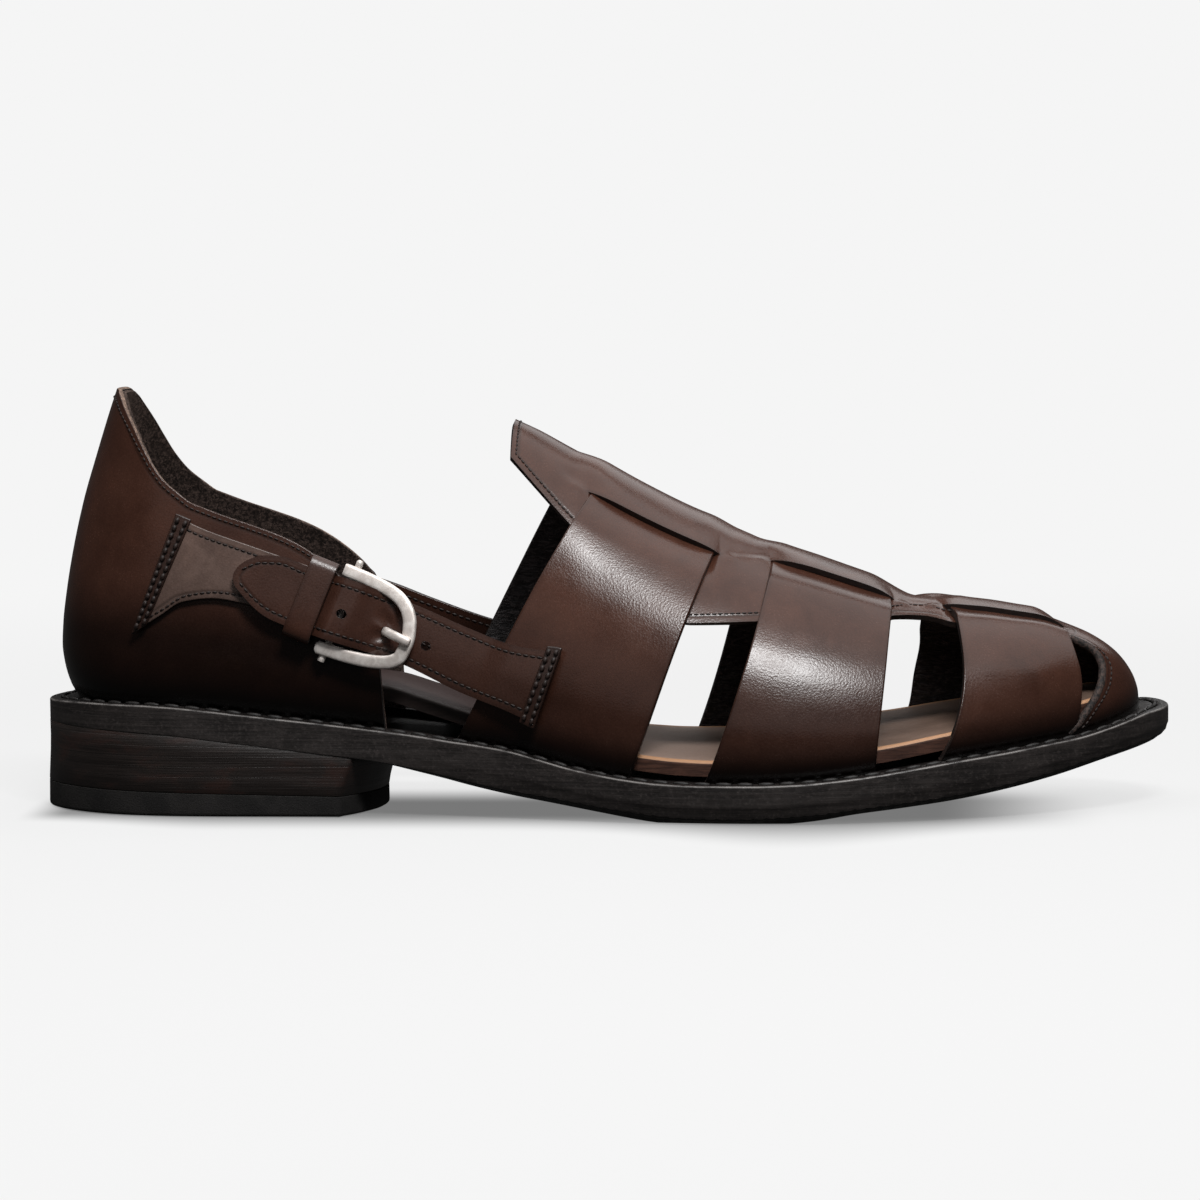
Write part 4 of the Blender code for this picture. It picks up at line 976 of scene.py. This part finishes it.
# ---------------------------------------------------------------- upper: quarter
def even(a, b, size):
    """Places from a to b, about a size apart."""
    return np.linspace(a, b, max(2, int(round(abs(b - a) / size)) + 1))


def lining_drop(u):
    """How far the lining's top edge lies below the collar; on the medial side it stands above it."""
    return 0.35 - 0.7 * step((u - 0.55) / 0.15)


around_heel = np.concatenate([even(0, 0.24, 0.0062), even(0.24, 0.76, 0.006)[1:], even(0.76, 1, 0.0062)[1:]])
panel("quarter", lambda u, w: at_quarter(u, w, 0), around_heel, 60, OUTER_LEATHER,
      [calf_heel_shaded, flesh, collar_edge], free=above_welt, sewn=lambda middle: middle.z > 58, edge=0.3)
panel("quarter_lining", lambda u, w: at_quarter(u, w, -OUTER_LEATHER - 0.05, lining_drop(u)), around_heel, 60,
      LINING, [lining, lining, lining], free=above_welt, edge=0.45)


# ---------------------------------------------------------------- upper: centre piece
def wing_angle(x, side):
    """Angle of a wing's lower edge, from its own side's welt."""
    return angle_at(x, wing_edge(x + (wing_shift(x) if side > 0 else 0)), side)


def band_and_wings(bm):
    """Panel slit where the straps come through; returns the angles and the x of its front row."""
    stations = np.unique(np.round(np.concatenate(
        [even(BAND_REAR, 128, 0.6), even(128, BAND_FRONT, 1.25)] + [[a, b] for a, b, _ in SLITS]
        + [even(a, a + 4, 0.5) for a, _, _ in SLITS] + [even(b - 4, b, 0.5) for _, b, _ in SLITS]), 3))
    n_wing, n_band = 16, 30
    left, right, final = n_wing, n_wing + n_band, 2 * n_wing + n_band
    flat_grid(bm, stations, range(final + 1))
    for a, b, _ in SLITS:
        bmesh.ops.split_edges(bm, edges=[
            e for e in bm.edges if e.verts[0].co.y == e.verts[1].co.y
            and all(v.co.y in (left, right) and a - 1e-4 <= v.co.x <= b + 1e-4 for v in e.verts)])
    on_band = np.array([left < np.mean([f.calc_center_median().y for f in v.link_faces]) < right
                        for v in bm.verts])
    x, c = flat(bm.verts).T
    lateral = c <= (left + right) / 2
    across = np.clip((c - left) / n_band, 0, 1)
    place = x - MEDIAL_SHIFT * step((x - 126) / 20) * step(across)

    # an angle for each column: wing from its lower edge to the slit, band from slit to slit
    low_near, low_far = wing_angle(place, -1), 180 - wing_angle(place, 1)
    slit_near = np.maximum(slit_angle(x), low_near + SLIT_GAP)
    slit_far = np.minimum(180 - slit_angle(x), low_far - SLIT_GAP)
    low, slit = np.where(lateral, low_near, low_far), np.where(lateral, slit_near, slit_far)
    wing_share = np.clip(np.where(lateral, c, final - c) / n_wing, 0, 1)
    on_columns = (c >= left) & (c <= right)
    angle = np.where(on_columns, mix(slit_near, slit_far, across), mix(low, slit, wing_share))

    # the band rises over the straps, the wings sink under them, and the slits' ends are pinched
    reach = np.abs(angle - slit) * math.pi / 180 * ARCH_RADIUS
    inside = np.where(on_band, reach, -np.maximum(reach, 1e-3))
    at_slit = np.abs(inside) < 0.05
    height = np.where(at_slit & (lip(x) <= 0), 0, centre_lift(x, inside, lip(x), band_over(place)))
    for a, b, _ in SLITS:
        for ahead in (a - x, x - b):
            height = height + 0.5 * np.exp(-((ahead - 2.6) / 1.7) ** 2 - ((inside + 0.8) / 1.6) ** 2)
            height = height - 0.45 * np.exp(-((ahead - 4.6) / 2.2) ** 2 - ((inside - 2.2) / 2.0) ** 2)
    opened = at_slit & np.any([(x > a - 0.01) & (x < b + 0.01) for a, b, _ in SLITS], axis=0)
    slit_mark = bm.verts.layers.float.new("slit")
    for v, cut in zip(bm.verts, opened):
        v[slit_mark] = float(cut)
    put(bm.verts, on_arch(place, angle, height))
    front = x >= stations[-1] - 1e-3
    return angle[front], place[front]


def toe_cap(bm, angles, starts):
    """Cap from the band's front row to the toe."""
    meet = sorted(set(np.round(angles, 6)))
    turns = np.concatenate([np.linspace(0, meet[0], 26)[:-1], meet, np.linspace(meet[-1], 180, 26)[1:]])
    cap = flat_grid(bm, 1 - (1 - np.linspace(0, 1, 46)) ** 1.7, turns)
    share, turn = flat(cap).T
    order = np.argsort(angles)
    start = np.where((turn < meet[0]) | (turn > meet[-1]), np.minimum(cap_line(turn), 290),
                     np.interp(turn, angles[order], starts[order]))
    put(cap, on_arch(mix(start, CAP_TIP, share), turn, np.zeros_like(turn)))


def centre_piece():
    """Band, wings and toe cap in one panel."""
    bm = bmesh.new()
    toe_cap(bm, *band_and_wings(bm))
    meet_x = (270 - MEDIAL_SHIFT - MIDDLE[0]) * MM
    bmesh.ops.remove_doubles(bm, verts=[v for v in bm.verts if v.co.x > meet_x], dist=0.05 * MM)
    face_out(bm)
    return leather(piece("centre_piece", bm, [calf_sewn, flesh, edge_ink]), SLIT_LEATHER,
                   edge=0.38, free=above_welt, sewn=above_welt)


centre = centre_piece()
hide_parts("upper")


def cap_bead(name, side):
    """Thick turned edge of the toe cap beside the front strap."""
    x, a = guide([(x, 0.7 * a) for a, x in CAP_START[:-1]])(np.linspace(0.03, 1, 70)).T
    a = a / 0.7 if side < 0 else 180 - a / 0.7
    x = x + 0.2 - (MEDIAL_SHIFT if side > 0 else 0)
    low, high = (on_arch(x, a, np.full_like(x, lift)) for lift in (-0.75, 0.25))
    sweep(name, low, high - low, lambda t: (0.98, 1.0, 0.8), cap_edge, ends=(1, 0.7))


cap_bead("cap_edge_lateral", -1)
cap_bead("cap_edge_medial", 1)

# ---------------------------------------------------------------- upper: straps
for number, calf in enumerate((calf_strap, calf_strap, calf_front)):
    panel(f"strap_{number + 1}", lambda a, w, n=number: at_strap(n, a, w), np.linspace(0, 180, 150), 26,
          STRAP_LEATHER, [calf, flesh, edge_ink], free=above_welt, edge=0.5)
# its inner face takes the quarter's darker copy of the calf, as painted shade
overlay("inner_strap", INNER_STRAP, level(2.0), 60, 20, BELT_LEATHER, [calf_sewn, calf_heel_shaded, edge_ink], side=1)
chape = overlay("chape_leather", CHAPE, level(CHAPE_TOP), 60, 26, 1.5, [calf_chape_sheen, flesh, edge_ink])
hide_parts("chape")
strap = overlay("buckle_strap_leather", BUCKLE_STRAP, on_strap, 150, 34, BELT_LEATHER,
                [calf_belt, flesh, edge_ink])
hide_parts("buckle_strap")
for name, edges, lift, across in (("chape_end", CHAPE_END, chape_trim, 50),
                                  ("strap_end", STRAP_END, strap_trim, 34)):
    overlay(name, edges, lift, 8, across, TRIM_LEATHER, [calf_trim, flesh, edge_ink], edge=0.45, sewn=never)
arch_line = guide(KEEPER_ARCH)
keeper = panel("keeper_loop", lambda u, w: at_buckle(mix(*KEEPER_SPAN, w), *np.moveaxis(arch_line(u), -1, 0)),
               70, 12, 1.2, [calf_belt, flesh, edge_ink], edge=0.3, sewn=never)
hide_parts("keeper")


def punch(ob, holes):
    """Cut round-ended holes through the strap, and keep the result as the mesh."""
    bm = bmesh.new()
    for run, across, half, radius in holes:
        a, b = at_buckle(run, across, -1.5), at_buckle(run, across, 9.0)
        z = Vector(b - a).normalized()
        x = Vector(at_buckle(run + 0.5, across, 0) - at_buckle(run - 0.5, across, 0)).normalized()
        y = z.cross(x).normalized()
        turn = Matrix((y.cross(z), y, z)).transposed().to_4x4()
        turn.translation = Vector(to_frame((a + b) / 2))
        cone = bmesh.ops.create_cone(bm, cap_ends=True, segments=24, radius1=radius * MM, radius2=radius * MM,
                                     depth=Vector(b - a).length * MM)["verts"]
        for v in cone:
            v.co.x += math.copysign(half - radius, v.co.x) * MM if half > radius else 0
        bmesh.ops.transform(bm, matrix=turn, verts=cone)
    tool = add_object("punch", bm)
    cut = ob.modifiers.new("holes", "BOOLEAN")
    cut.operation, cut.solver, cut.object = "DIFFERENCE", "EXACT", tool
    cut.use_self = True
    bpy.context.view_layer.update()
    settle(ob)
    bpy.data.objects.remove(tool)


punch(strap, STRAP_HOLES)


# ---------------------------------------------------------------- buckle
def metal(name, rows, n, shape, ends=(0.9, 0.6)):
    """Bar of the buckle along rows of run, across and height over the wall."""
    p = guide(rows)(np.linspace(0, 1, n))
    path, over = at_buckle(*p.T), at_buckle(p[:, 0], p[:, 1], p[:, 2] + 1)
    return sweep(name, path, over - path, shape, silver, ends)


frame_bar = metal("buckle_frame_metal", FRAME_LINE, 90, lambda t: (1.78, 1.05, 0.45))
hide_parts("buckle_frame")
metal("buckle_bar_metal", BAR_LINE, 60, lambda t: (1.0, 1.0, 1.0))
prong = metal("buckle_prong_metal", PRONG_LINE, 60,
              lambda t: (mix(0.85, 1.25, step((t - 0.4) / 0.3)), 0.95, 0.75), (0.9, 0.75))
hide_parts("buckle_prong")


# ---------------------------------------------------------------- sole
def stations_of(plan, n):
    """x of n + 1 places, evenly spaced along the lateral side."""
    run = plan.run[-1]
    s = run_length(run)
    return np.interp(np.linspace(0, s[-1], n + 1), s, run[:, 0])


def ring_of(plan, n, i):
    """Points of a ring of 2n, lateral side first, at whole numbers i."""
    i = np.asarray(i) % (2 * n)
    x = stations_of(plan, n)[np.where(i > n, 2 * n - i, i)]
    return np.stack([x, np.where(i > n, plan.half(x, 1), plan.half(x, -1))], -1)


def around(bm, plans, n, edge_glint=()):
    """Skin of rings; each row is a plan and a height as a function of x and y. Rows may be marked for a painted
    highlight.
    """
    edge_glint_mark = bm.verts.layers.float.new("edge_glint")
    verts = flat_grid(bm, range(2 * n + 1), range(len(plans)))
    ij = flat(verts).round().astype(int)
    out = np.zeros((len(verts), 3))
    for j, (plan, z) in enumerate(plans):
        here = ij[:, 1] == j
        p = ring_of(plan, n, ij[here, 0])
        out[here] = np.column_stack([p, z(p[:, 0], p[:, 1])])
    put(verts, out)
    for v, (i, j) in zip(verts, ij):
        v[edge_glint_mark] = float(j in edge_glint)


def deck(bm, plan, n, z, across):
    """Top or bottom face from the lateral to the medial edge."""
    verts = flat_grid(bm, range(n + 1), np.linspace(0, 1, across + 1))
    i, w = flat(verts).T
    x = stations_of(plan, n)[i.round().astype(int)]
    y = mix(plan.half(x, -1), plan.half(x, 1), w)
    put(verts, np.stack([x, y, z(x, y)], -1))


def close_up(name, bm, materials, sharp, tag=None):
    """Join the faces that meet, and give each the material that its tag says."""
    bmesh.ops.remove_doubles(bm, verts=bm.verts, dist=0.004 * MM)
    bmesh.ops.recalc_face_normals(bm, faces=bm.faces)
    if tag:
        for f in bm.faces:
            f.material_index = tag(f)
    return piece(name, bm, materials, sharp)


def rounded(plan, z_high, radius):
    """Rows of a rounded upper edge: from a top ring inset by the radius down to the side."""
    return [(plan.inset(radius * (1 - math.sin(a))), lifted(z_high, -radius * (1 - math.cos(a))))
            for a in np.linspace(0, math.pi / 2, 5)]


def welt():
    """Leather strip with a stitching groove, and a painted highlight along its rounded outer corner."""
    bm = bmesh.new()
    under = lifted(top_of_welt, -WELT_THICK)
    rows = [(feather_plan.inset(RAND), under), (feather_plan.inset(RAND), top_of_welt),
            (sole_plan.inset(5.4), top_of_welt)]
    rows += [(sole_plan.inset(d), lifted(top_of_welt, h)) for d, h in WELT_GROOVE]
    corner = len(rows)
    rows += rounded(sole_plan, top_of_welt, 0.5) + [(sole_plan, lifted(top_of_welt, -1.0)), (sole_plan, under)]
    around(bm, rows + rows[:1], 330, (corner + 1, corner + 2, corner + 3))

    def tag(f):
        x, y, z = to_shoe(f.calc_center_median())
        return int(abs(f.normal.z) < 0.75 and z < top_of_welt(x, y) + 0.1
                   and abs(y - sole_plan.half(x, math.copysign(1, y - 1))) < 2.5)
    return close_up("welt_strip", bm, [welt_ink, sole_edge_ink], 50, tag)


def outsole():
    """Sole whose edge steps in towards the arch and whose tread is notched along its corner."""
    n = 620
    bm = bmesh.new()
    low = lifted(top_of_welt, -WELT_THICK - 0.05)
    drop = tread_drop(sole_plan.line[:, 0])
    under = drop / 1.8

    def bottom(x, y):
        return sole_edge(x) + twist(x, y)

    def tread(x, y):
        return np.maximum(bottom(x, y) - tread_drop(x), 0)

    def corner(angle):
        """Row of the rounded lower corner, from its side (0) to its underside (90 degrees)."""
        inset = 0.02 + 0.93 * under + (0.1 + 1.4 * under) * (1 - math.cos(angle))

        def height(x, y):
            notch = 0.28 * step((x - 122) / 14) * (0.5 + 0.5 * np.cos(2 * np.pi * x / 3.3)) ** 3
            return bottom(x, y) + 0.4 + notch - (0.4 + 0.3 * tread_drop(x)) * math.sin(angle)
        return sole_plan.inset(inset), height
    rows = [(sole_plan, low), (sole_plan, lifted(low, -0.3))]
    rows += [(sole_plan.inset(0.01 + inset * under), between(low, bottom, share)) for share, inset in
             ((0.2, 0), (0.4, 0), (0.52, 0.02), (0.58, 0.2), (0.68, 0.5), (0.82, 0.8))]
    rows += [corner(a * math.pi / 2) for a in np.linspace(0.15, 1, 5)]
    rows += [(sole_plan.inset(1.2 + 1.4 * drop), tread)]
    around(bm, rows, n)
    deck(bm, rows[-1][0], n, tread, 14)
    deck(bm, sole_plan, n, low, 4)

    def tag(f):
        x, y, z = to_shoe(f.calc_center_median())
        # the lower corner takes the darker ink, as painted shade
        if x > 84 and z < bottom(x, y) + 0.45 and abs(f.normal.z) < 0.8:
            return 2
        return 1 if f.normal.z < -0.8 else 0
    return close_up("outsole_leather", bm, [sole_edge_ink, tread_ink, under_shade_ink], 50, tag)


def insole():
    """Covered insole with a rounded upper edge, tilted a little under the arch."""
    n = 260
    bm = bmesh.new()

    def top(x, y):
        arch_side = step((x - 60) / 25) * step((135 - x) / 20)
        return insole_top(x) + twist(x, y) - 0.03 * (y + 2) * arch_side
    wall = 0.35 + np.interp(feather_plan.line[:, 0], [80, 110, 280, 292],
                            [OUTER_LEATHER + LINING, VAMP_LEATHER, VAMP_LEATHER, VAMP_LEATHER + 1.4])
    plan, under = feather_plan.inset(wall), lifted(top, -INSOLE_THICK)
    rows = [(feather_plan.inset(RAND + 0.6), under), (plan, lifted(under, 0.1)), (plan, lifted(top, -1.3))]
    rows += rounded(plan, top, 1.2)[::-1]
    around(bm, rows, n)
    deck(bm, rows[-1][0], n, top, 24)
    deck(bm, rows[0][0], n, under, 4)
    ob = close_up("insole_cover", bm, [tan, tan_side], 60, lambda f: int(f.normal.z <= 0.35))
    rim = [(x, y, 0) for x, y in (plan.line - MIDDLE[:2]) * MM]
    mark(ob, "rim_mm", nearest_mm([(v.co.x, v.co.y, 0) for v in ob.data.vertices], rim))
    return ob


welt_ob, sole_ob, insole_ob = welt(), outsole(), insole()
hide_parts("welt")
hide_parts("outsole")
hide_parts("insole")


# ---------------------------------------------------------------- heel
def heel_plan():
    """The sole's outline as far as the breast of the heel."""
    lateral, medial = sole_plan.line[:sole_plan.toe], sole_plan.line[sole_plan.toe:]
    return Outline(np.vstack([lateral[lateral[:, 0] < BREAST[0][0]], guide(BREAST)(np.linspace(0, 1, 60)),
                              medial[medial[:, 0] < BREAST[-1][0]]]))


def heel_part(name, rows, mat):
    """Closed block of the heel, whose back slopes in and whose breast leans forward towards the sole."""
    n = 90
    bm = bmesh.new()
    around(bm, rows, n)
    for plan, z in (rows[0], rows[-1]):
        deck(bm, plan, n, z, 8)
    for v in bm.verts:
        x, y, z = to_shoe(v.co)
        high, side = min(max((z - TOP_LIFT) / 11, 0), 1), step((15 - y) / 35)
        breast = mix(mix(0.5, 1.6, side), mix(1.8, 5.6, side), high) * step((x - 45) / 34)
        slope = (1 - 0.8 * high) * 0.9 * step((30 - x) / 30)
        v.co.x += (breast - slope) * MM
    return close_up(name, bm, [mat], 50)


def lift_top(x, y):
    return TOP_LIFT + 0.6 - 0.020 * x


def under_sole(by):
    return lambda x, y: sole_edge(x) - by


block = heel_plan()
stack_ob = heel_part(
    "heel_stack_leather",
    [(block.inset(0.25), under_sole(0.08)), (block.inset(0.15), under_sole(0.2))]
    + [(block.inset(0.15 + 0.25 * share), between(under_sole(0.5), lifted(lift_top, 0.3), share))
       for share in (0.25, 0.5, 0.75, 1)]
    + [(block.inset(0.55), lifted(lift_top, 0.1))], stack)
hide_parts("heel_stack")
lift_ob = heel_part(
    "top_lift_rubber",
    [(block.inset(0.7), lift_top), (block.inset(0.45), lifted(lift_top, -0.2)), (block.inset(0.4), level(1.0))]
    + [(block.inset(0.4 + 0.8 * (1 - math.cos(a))), level(0.8 * (1 - math.sin(a))))
       for a in (0.5, 1.0, math.pi / 2)],
    lift_rubber)
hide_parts("top_lift")


# ---------------------------------------------------------------- sewing
def part_of(line, a, b):
    """Stretch of a line between two shares of it."""
    return lambda t, lift: line(mix(a, b, t), lift)


def collar_line(t, lift):
    """Along the collar and both front edges' tops, below the edge."""
    return at_quarter(t, 1 - SEAM / 72, lift)


def tab_rear(t, lift):
    """Across the rear of the band."""
    start, end = wing_angle(np.array([127.2]), -1)[0] + 3, 177 - wing_angle(np.array([127.2]), 1)[0]
    return on_arch(126.6 + 0 * t, mix(start, end, t), lift + 0 * t)


def wing_line(side):
    """Along a wing's lower edge."""
    def line(t, lift):
        x = mix(127.0, 272.0 - (0 if side < 0 else MEDIAL_SHIFT), t)
        a = angle_at(x, wing_edge(x + (wing_shift(x) if side > 0 else 0)) + 2.1, side)
        return on_arch(x, a if side < 0 else 180 - a, lift + 0 * x)
    return line


def crescent(side):
    """Beside the toe cap's edge."""
    def line(t, lift):
        a = mix(3, 64, t) if side < 0 else 180 - mix(3, 64, t)
        return on_arch(cap_line(a) + 2.1, a, lift + 0 * a)
    return line


sew("upper_stitches", [part_of(collar_line, 0.02, 0.98), tab_rear, wing_line(-1), wing_line(1), crescent(-1),
                       crescent(1)], 1.6, 1.35, 0.55, 0.5, upper_thread)


def edge_lines(edges, lift, a, b, side=-1, way=1):
    """Lines along an overlay's top and bottom edges; way is -1 for stitches seen from behind."""
    top, bottom = guide(edges["top"]), guide(edges["bottom"])

    def line_at(end):
        def line(t, up):
            u = mix(a, b, t)
            share = np.clip(SEAM / np.linalg.norm(bottom(u) - top(u), axis=-1), 0, 0.5)
            return at_side(edges, u, share if end == 0 else 1 - share, lifted(lift, up * way), side)
        return line
    return [line_at(0), line_at(1)]


def cross_lines(edges, lift, a, b):
    """Two lines across an end strip."""
    def line_at(u):
        return lambda t, up: at_side(edges, np.full_like(t, u), mix(a, b, t), lifted(lift, up))
    return [line_at(0.26), line_at(0.76)]


sew("chape_stitches", edge_lines(CHAPE, level(CHAPE_TOP), 0.03, 1), 1.7, 1.4, 0.6, 0.55, upper_thread)
sew("end_stitches", cross_lines(CHAPE_END, chape_trim, 0.02, 0.98)
    + cross_lines(STRAP_END, strap_trim, 0.03, 0.97), 2.2, 2.0, 1.3, 1.2, upper_thread, 0.25)
sew("buckle_strap_stitches", edge_lines(BUCKLE_STRAP, on_strap, 0.04, 0.98), 1.9, 1.6, 0.6, 0.55, upper_thread)
sew("inner_strap_stitches", edge_lines(INNER_STRAP, level(2.0), 0.02, 0.98, 1)
    + edge_lines(INNER_STRAP, level(0.2), 0.02, 0.98, 1, -1), 1.9, 1.6, 0.6, 0.55, upper_thread)


def welt_line(t, lift):
    """Round the welt, in its groove."""
    x, y = ring_of(sole_plan.inset(3.6), 4000, np.round(t * 8000).astype(int)).T
    return np.stack([x, y, top_of_welt(x, y) - 0.25 + lift], -1)


sew("welt_stitches", [part_of(welt_line, 0.001, 0.999)], 5.6, 4.6, 1.5, 1.3, welt_thread, 0.3)


# ---------------------------------------------------------------- studio
BACKDROP = 0.913          # even tone of floor and backdrop away from the shoe
FLOOR_GLOW = 0.744
FLOOR_TONE = 0.115
STUDIO_RADIUS = 9.0


def studio_floor():
    """Pale floor with a painted soft shadow under the shoe, whose light fades into an even backdrop away from
    it.
    """
    f = Finish("studio_floor", Specular_IOR_Level=0.0, Roughness=1.0, Emission_Strength=1.0,
               Base_Color=(FLOOR_TONE,) * 3)
    x, y = f.along("X") + float(MIDDLE[0]), f.along("Y")
    wide = 34 - 13 * f.ease(x, 50, 0) + 27 * (-((x - 202) / 38) ** 2).exp()
    # painted soft shadow under the shoe: the floor's glow drops to a quarter there
    under = f.ease(abs(y + 14) / wide, 1.42, 0.35) * f.ease(x, 286, 238) * f.ease(x, -8, 6)
    glow = f.paint(under, (FLOOR_GLOW,) * 3, (FLOOR_GLOW * 0.25,) * 3)
    f.feed(f.shader.inputs["Emission Color"], glow)
    away = f.node("ShaderNodeVectorMath", dict(operation="LENGTH"), f.place).value("Value")
    backdrop = f.node("ShaderNodeEmission", {}, Color=(BACKDROP,) * 3).out()
    both = f.node("ShaderNodeMixShader", {}, f.ease(away, 0.2, 0.75), f.shader.outputs[0], backdrop).out()
    f.feed(f.tree.nodes["Material Output"].inputs["Surface"], both)
    return f.mat


def studio():
    """Floor and dome, seen by the camera alone."""
    floor, dome = bmesh.new(), bmesh.new()
    bmesh.ops.create_circle(floor, cap_ends=True, segments=96, radius=STUDIO_RADIUS)
    bmesh.ops.translate(floor, verts=floor.verts, vec=(0, 0, -0.0002))
    bmesh.ops.create_uvsphere(dome, u_segments=96, v_segments=48, radius=STUDIO_RADIUS)
    glow = Finish("studio_dome", Specular_IOR_Level=0.0, Emission_Strength=1.0, Base_Color=(0, 0, 0),
                  Emission_Color=(BACKDROP,) * 3).mat
    for name, bm, mat in (("studio_floor", floor, studio_floor()), ("studio_dome", dome, glow)):
        ob = add_object(name, bm, [mat])
        ob.visible_glossy = ob.visible_diffuse = ob.visible_transmission = ob.visible_shadow = False


def light(name, where, size, power):
    """Rectangular light aimed at the middle of the shoe."""
    data = bpy.data.lights.new(name, "AREA")
    data.shape = "RECTANGLE"
    data.size, data.size_y = size
    data.energy = power
    ob = bpy.data.objects.new(name, data)
    bpy.context.scene.collection.objects.link(ob)
    ob.location = where
    ob.rotation_euler = (Vector(where) - Vector((0, 0, 0.04))).to_track_quat("Z", "Y").to_euler()


studio()
light("key", (0.24, -0.78, 1.00), (0.34, 0.25), 11.5)
light("overhead", (0.0, 0.05, 1.5), (3.0, 2.0), 30)
light("back", (0.4, 1.25, 0.85), (0.8, 0.6), 1.8)
light("front", (0.0, -1.35, 0.62), (1.7, 0.45), 0.9)
world = bpy.data.worlds.new("studio")
world.use_nodes = True
world.node_tree.nodes["Background"].inputs["Color"].default_value = (1, 1, 1, 1)
world.node_tree.nodes["Background"].inputs["Strength"].default_value = 0.045
bpy.context.scene.world = world
bpy.context.scene.view_settings.view_transform = "Standard"

# ---------------------------------------------------------------- camera
AIM = Vector(to_frame((148, 0, 55)))
AZIMUTH, ELEVATION, ROLL, DISTANCE = math.radians(4), math.radians(5), math.radians(-0.5), 1.5
back = Vector((math.sin(AZIMUTH) * math.cos(ELEVATION), -math.cos(AZIMUTH) * math.cos(ELEVATION),
               math.sin(ELEVATION)))
right = (-back).cross(Vector((0, 0, 1))).normalized()
up = right.cross(-back)
turned = right * math.cos(ROLL) + up * math.sin(ROLL)
upright = up * math.cos(ROLL) - right * math.sin(ROLL)
camera = bpy.data.objects.new("camera", bpy.data.cameras.new("camera"))
camera.data.sensor_width = 36
camera.data.lens = 166.05
place = Matrix((turned, upright, back)).transposed().to_4x4()
place.translation = AIM + back * DISTANCE
camera.matrix_world = place
bpy.context.scene.collection.objects.link(camera)
bpy.context.scene.camera = camera
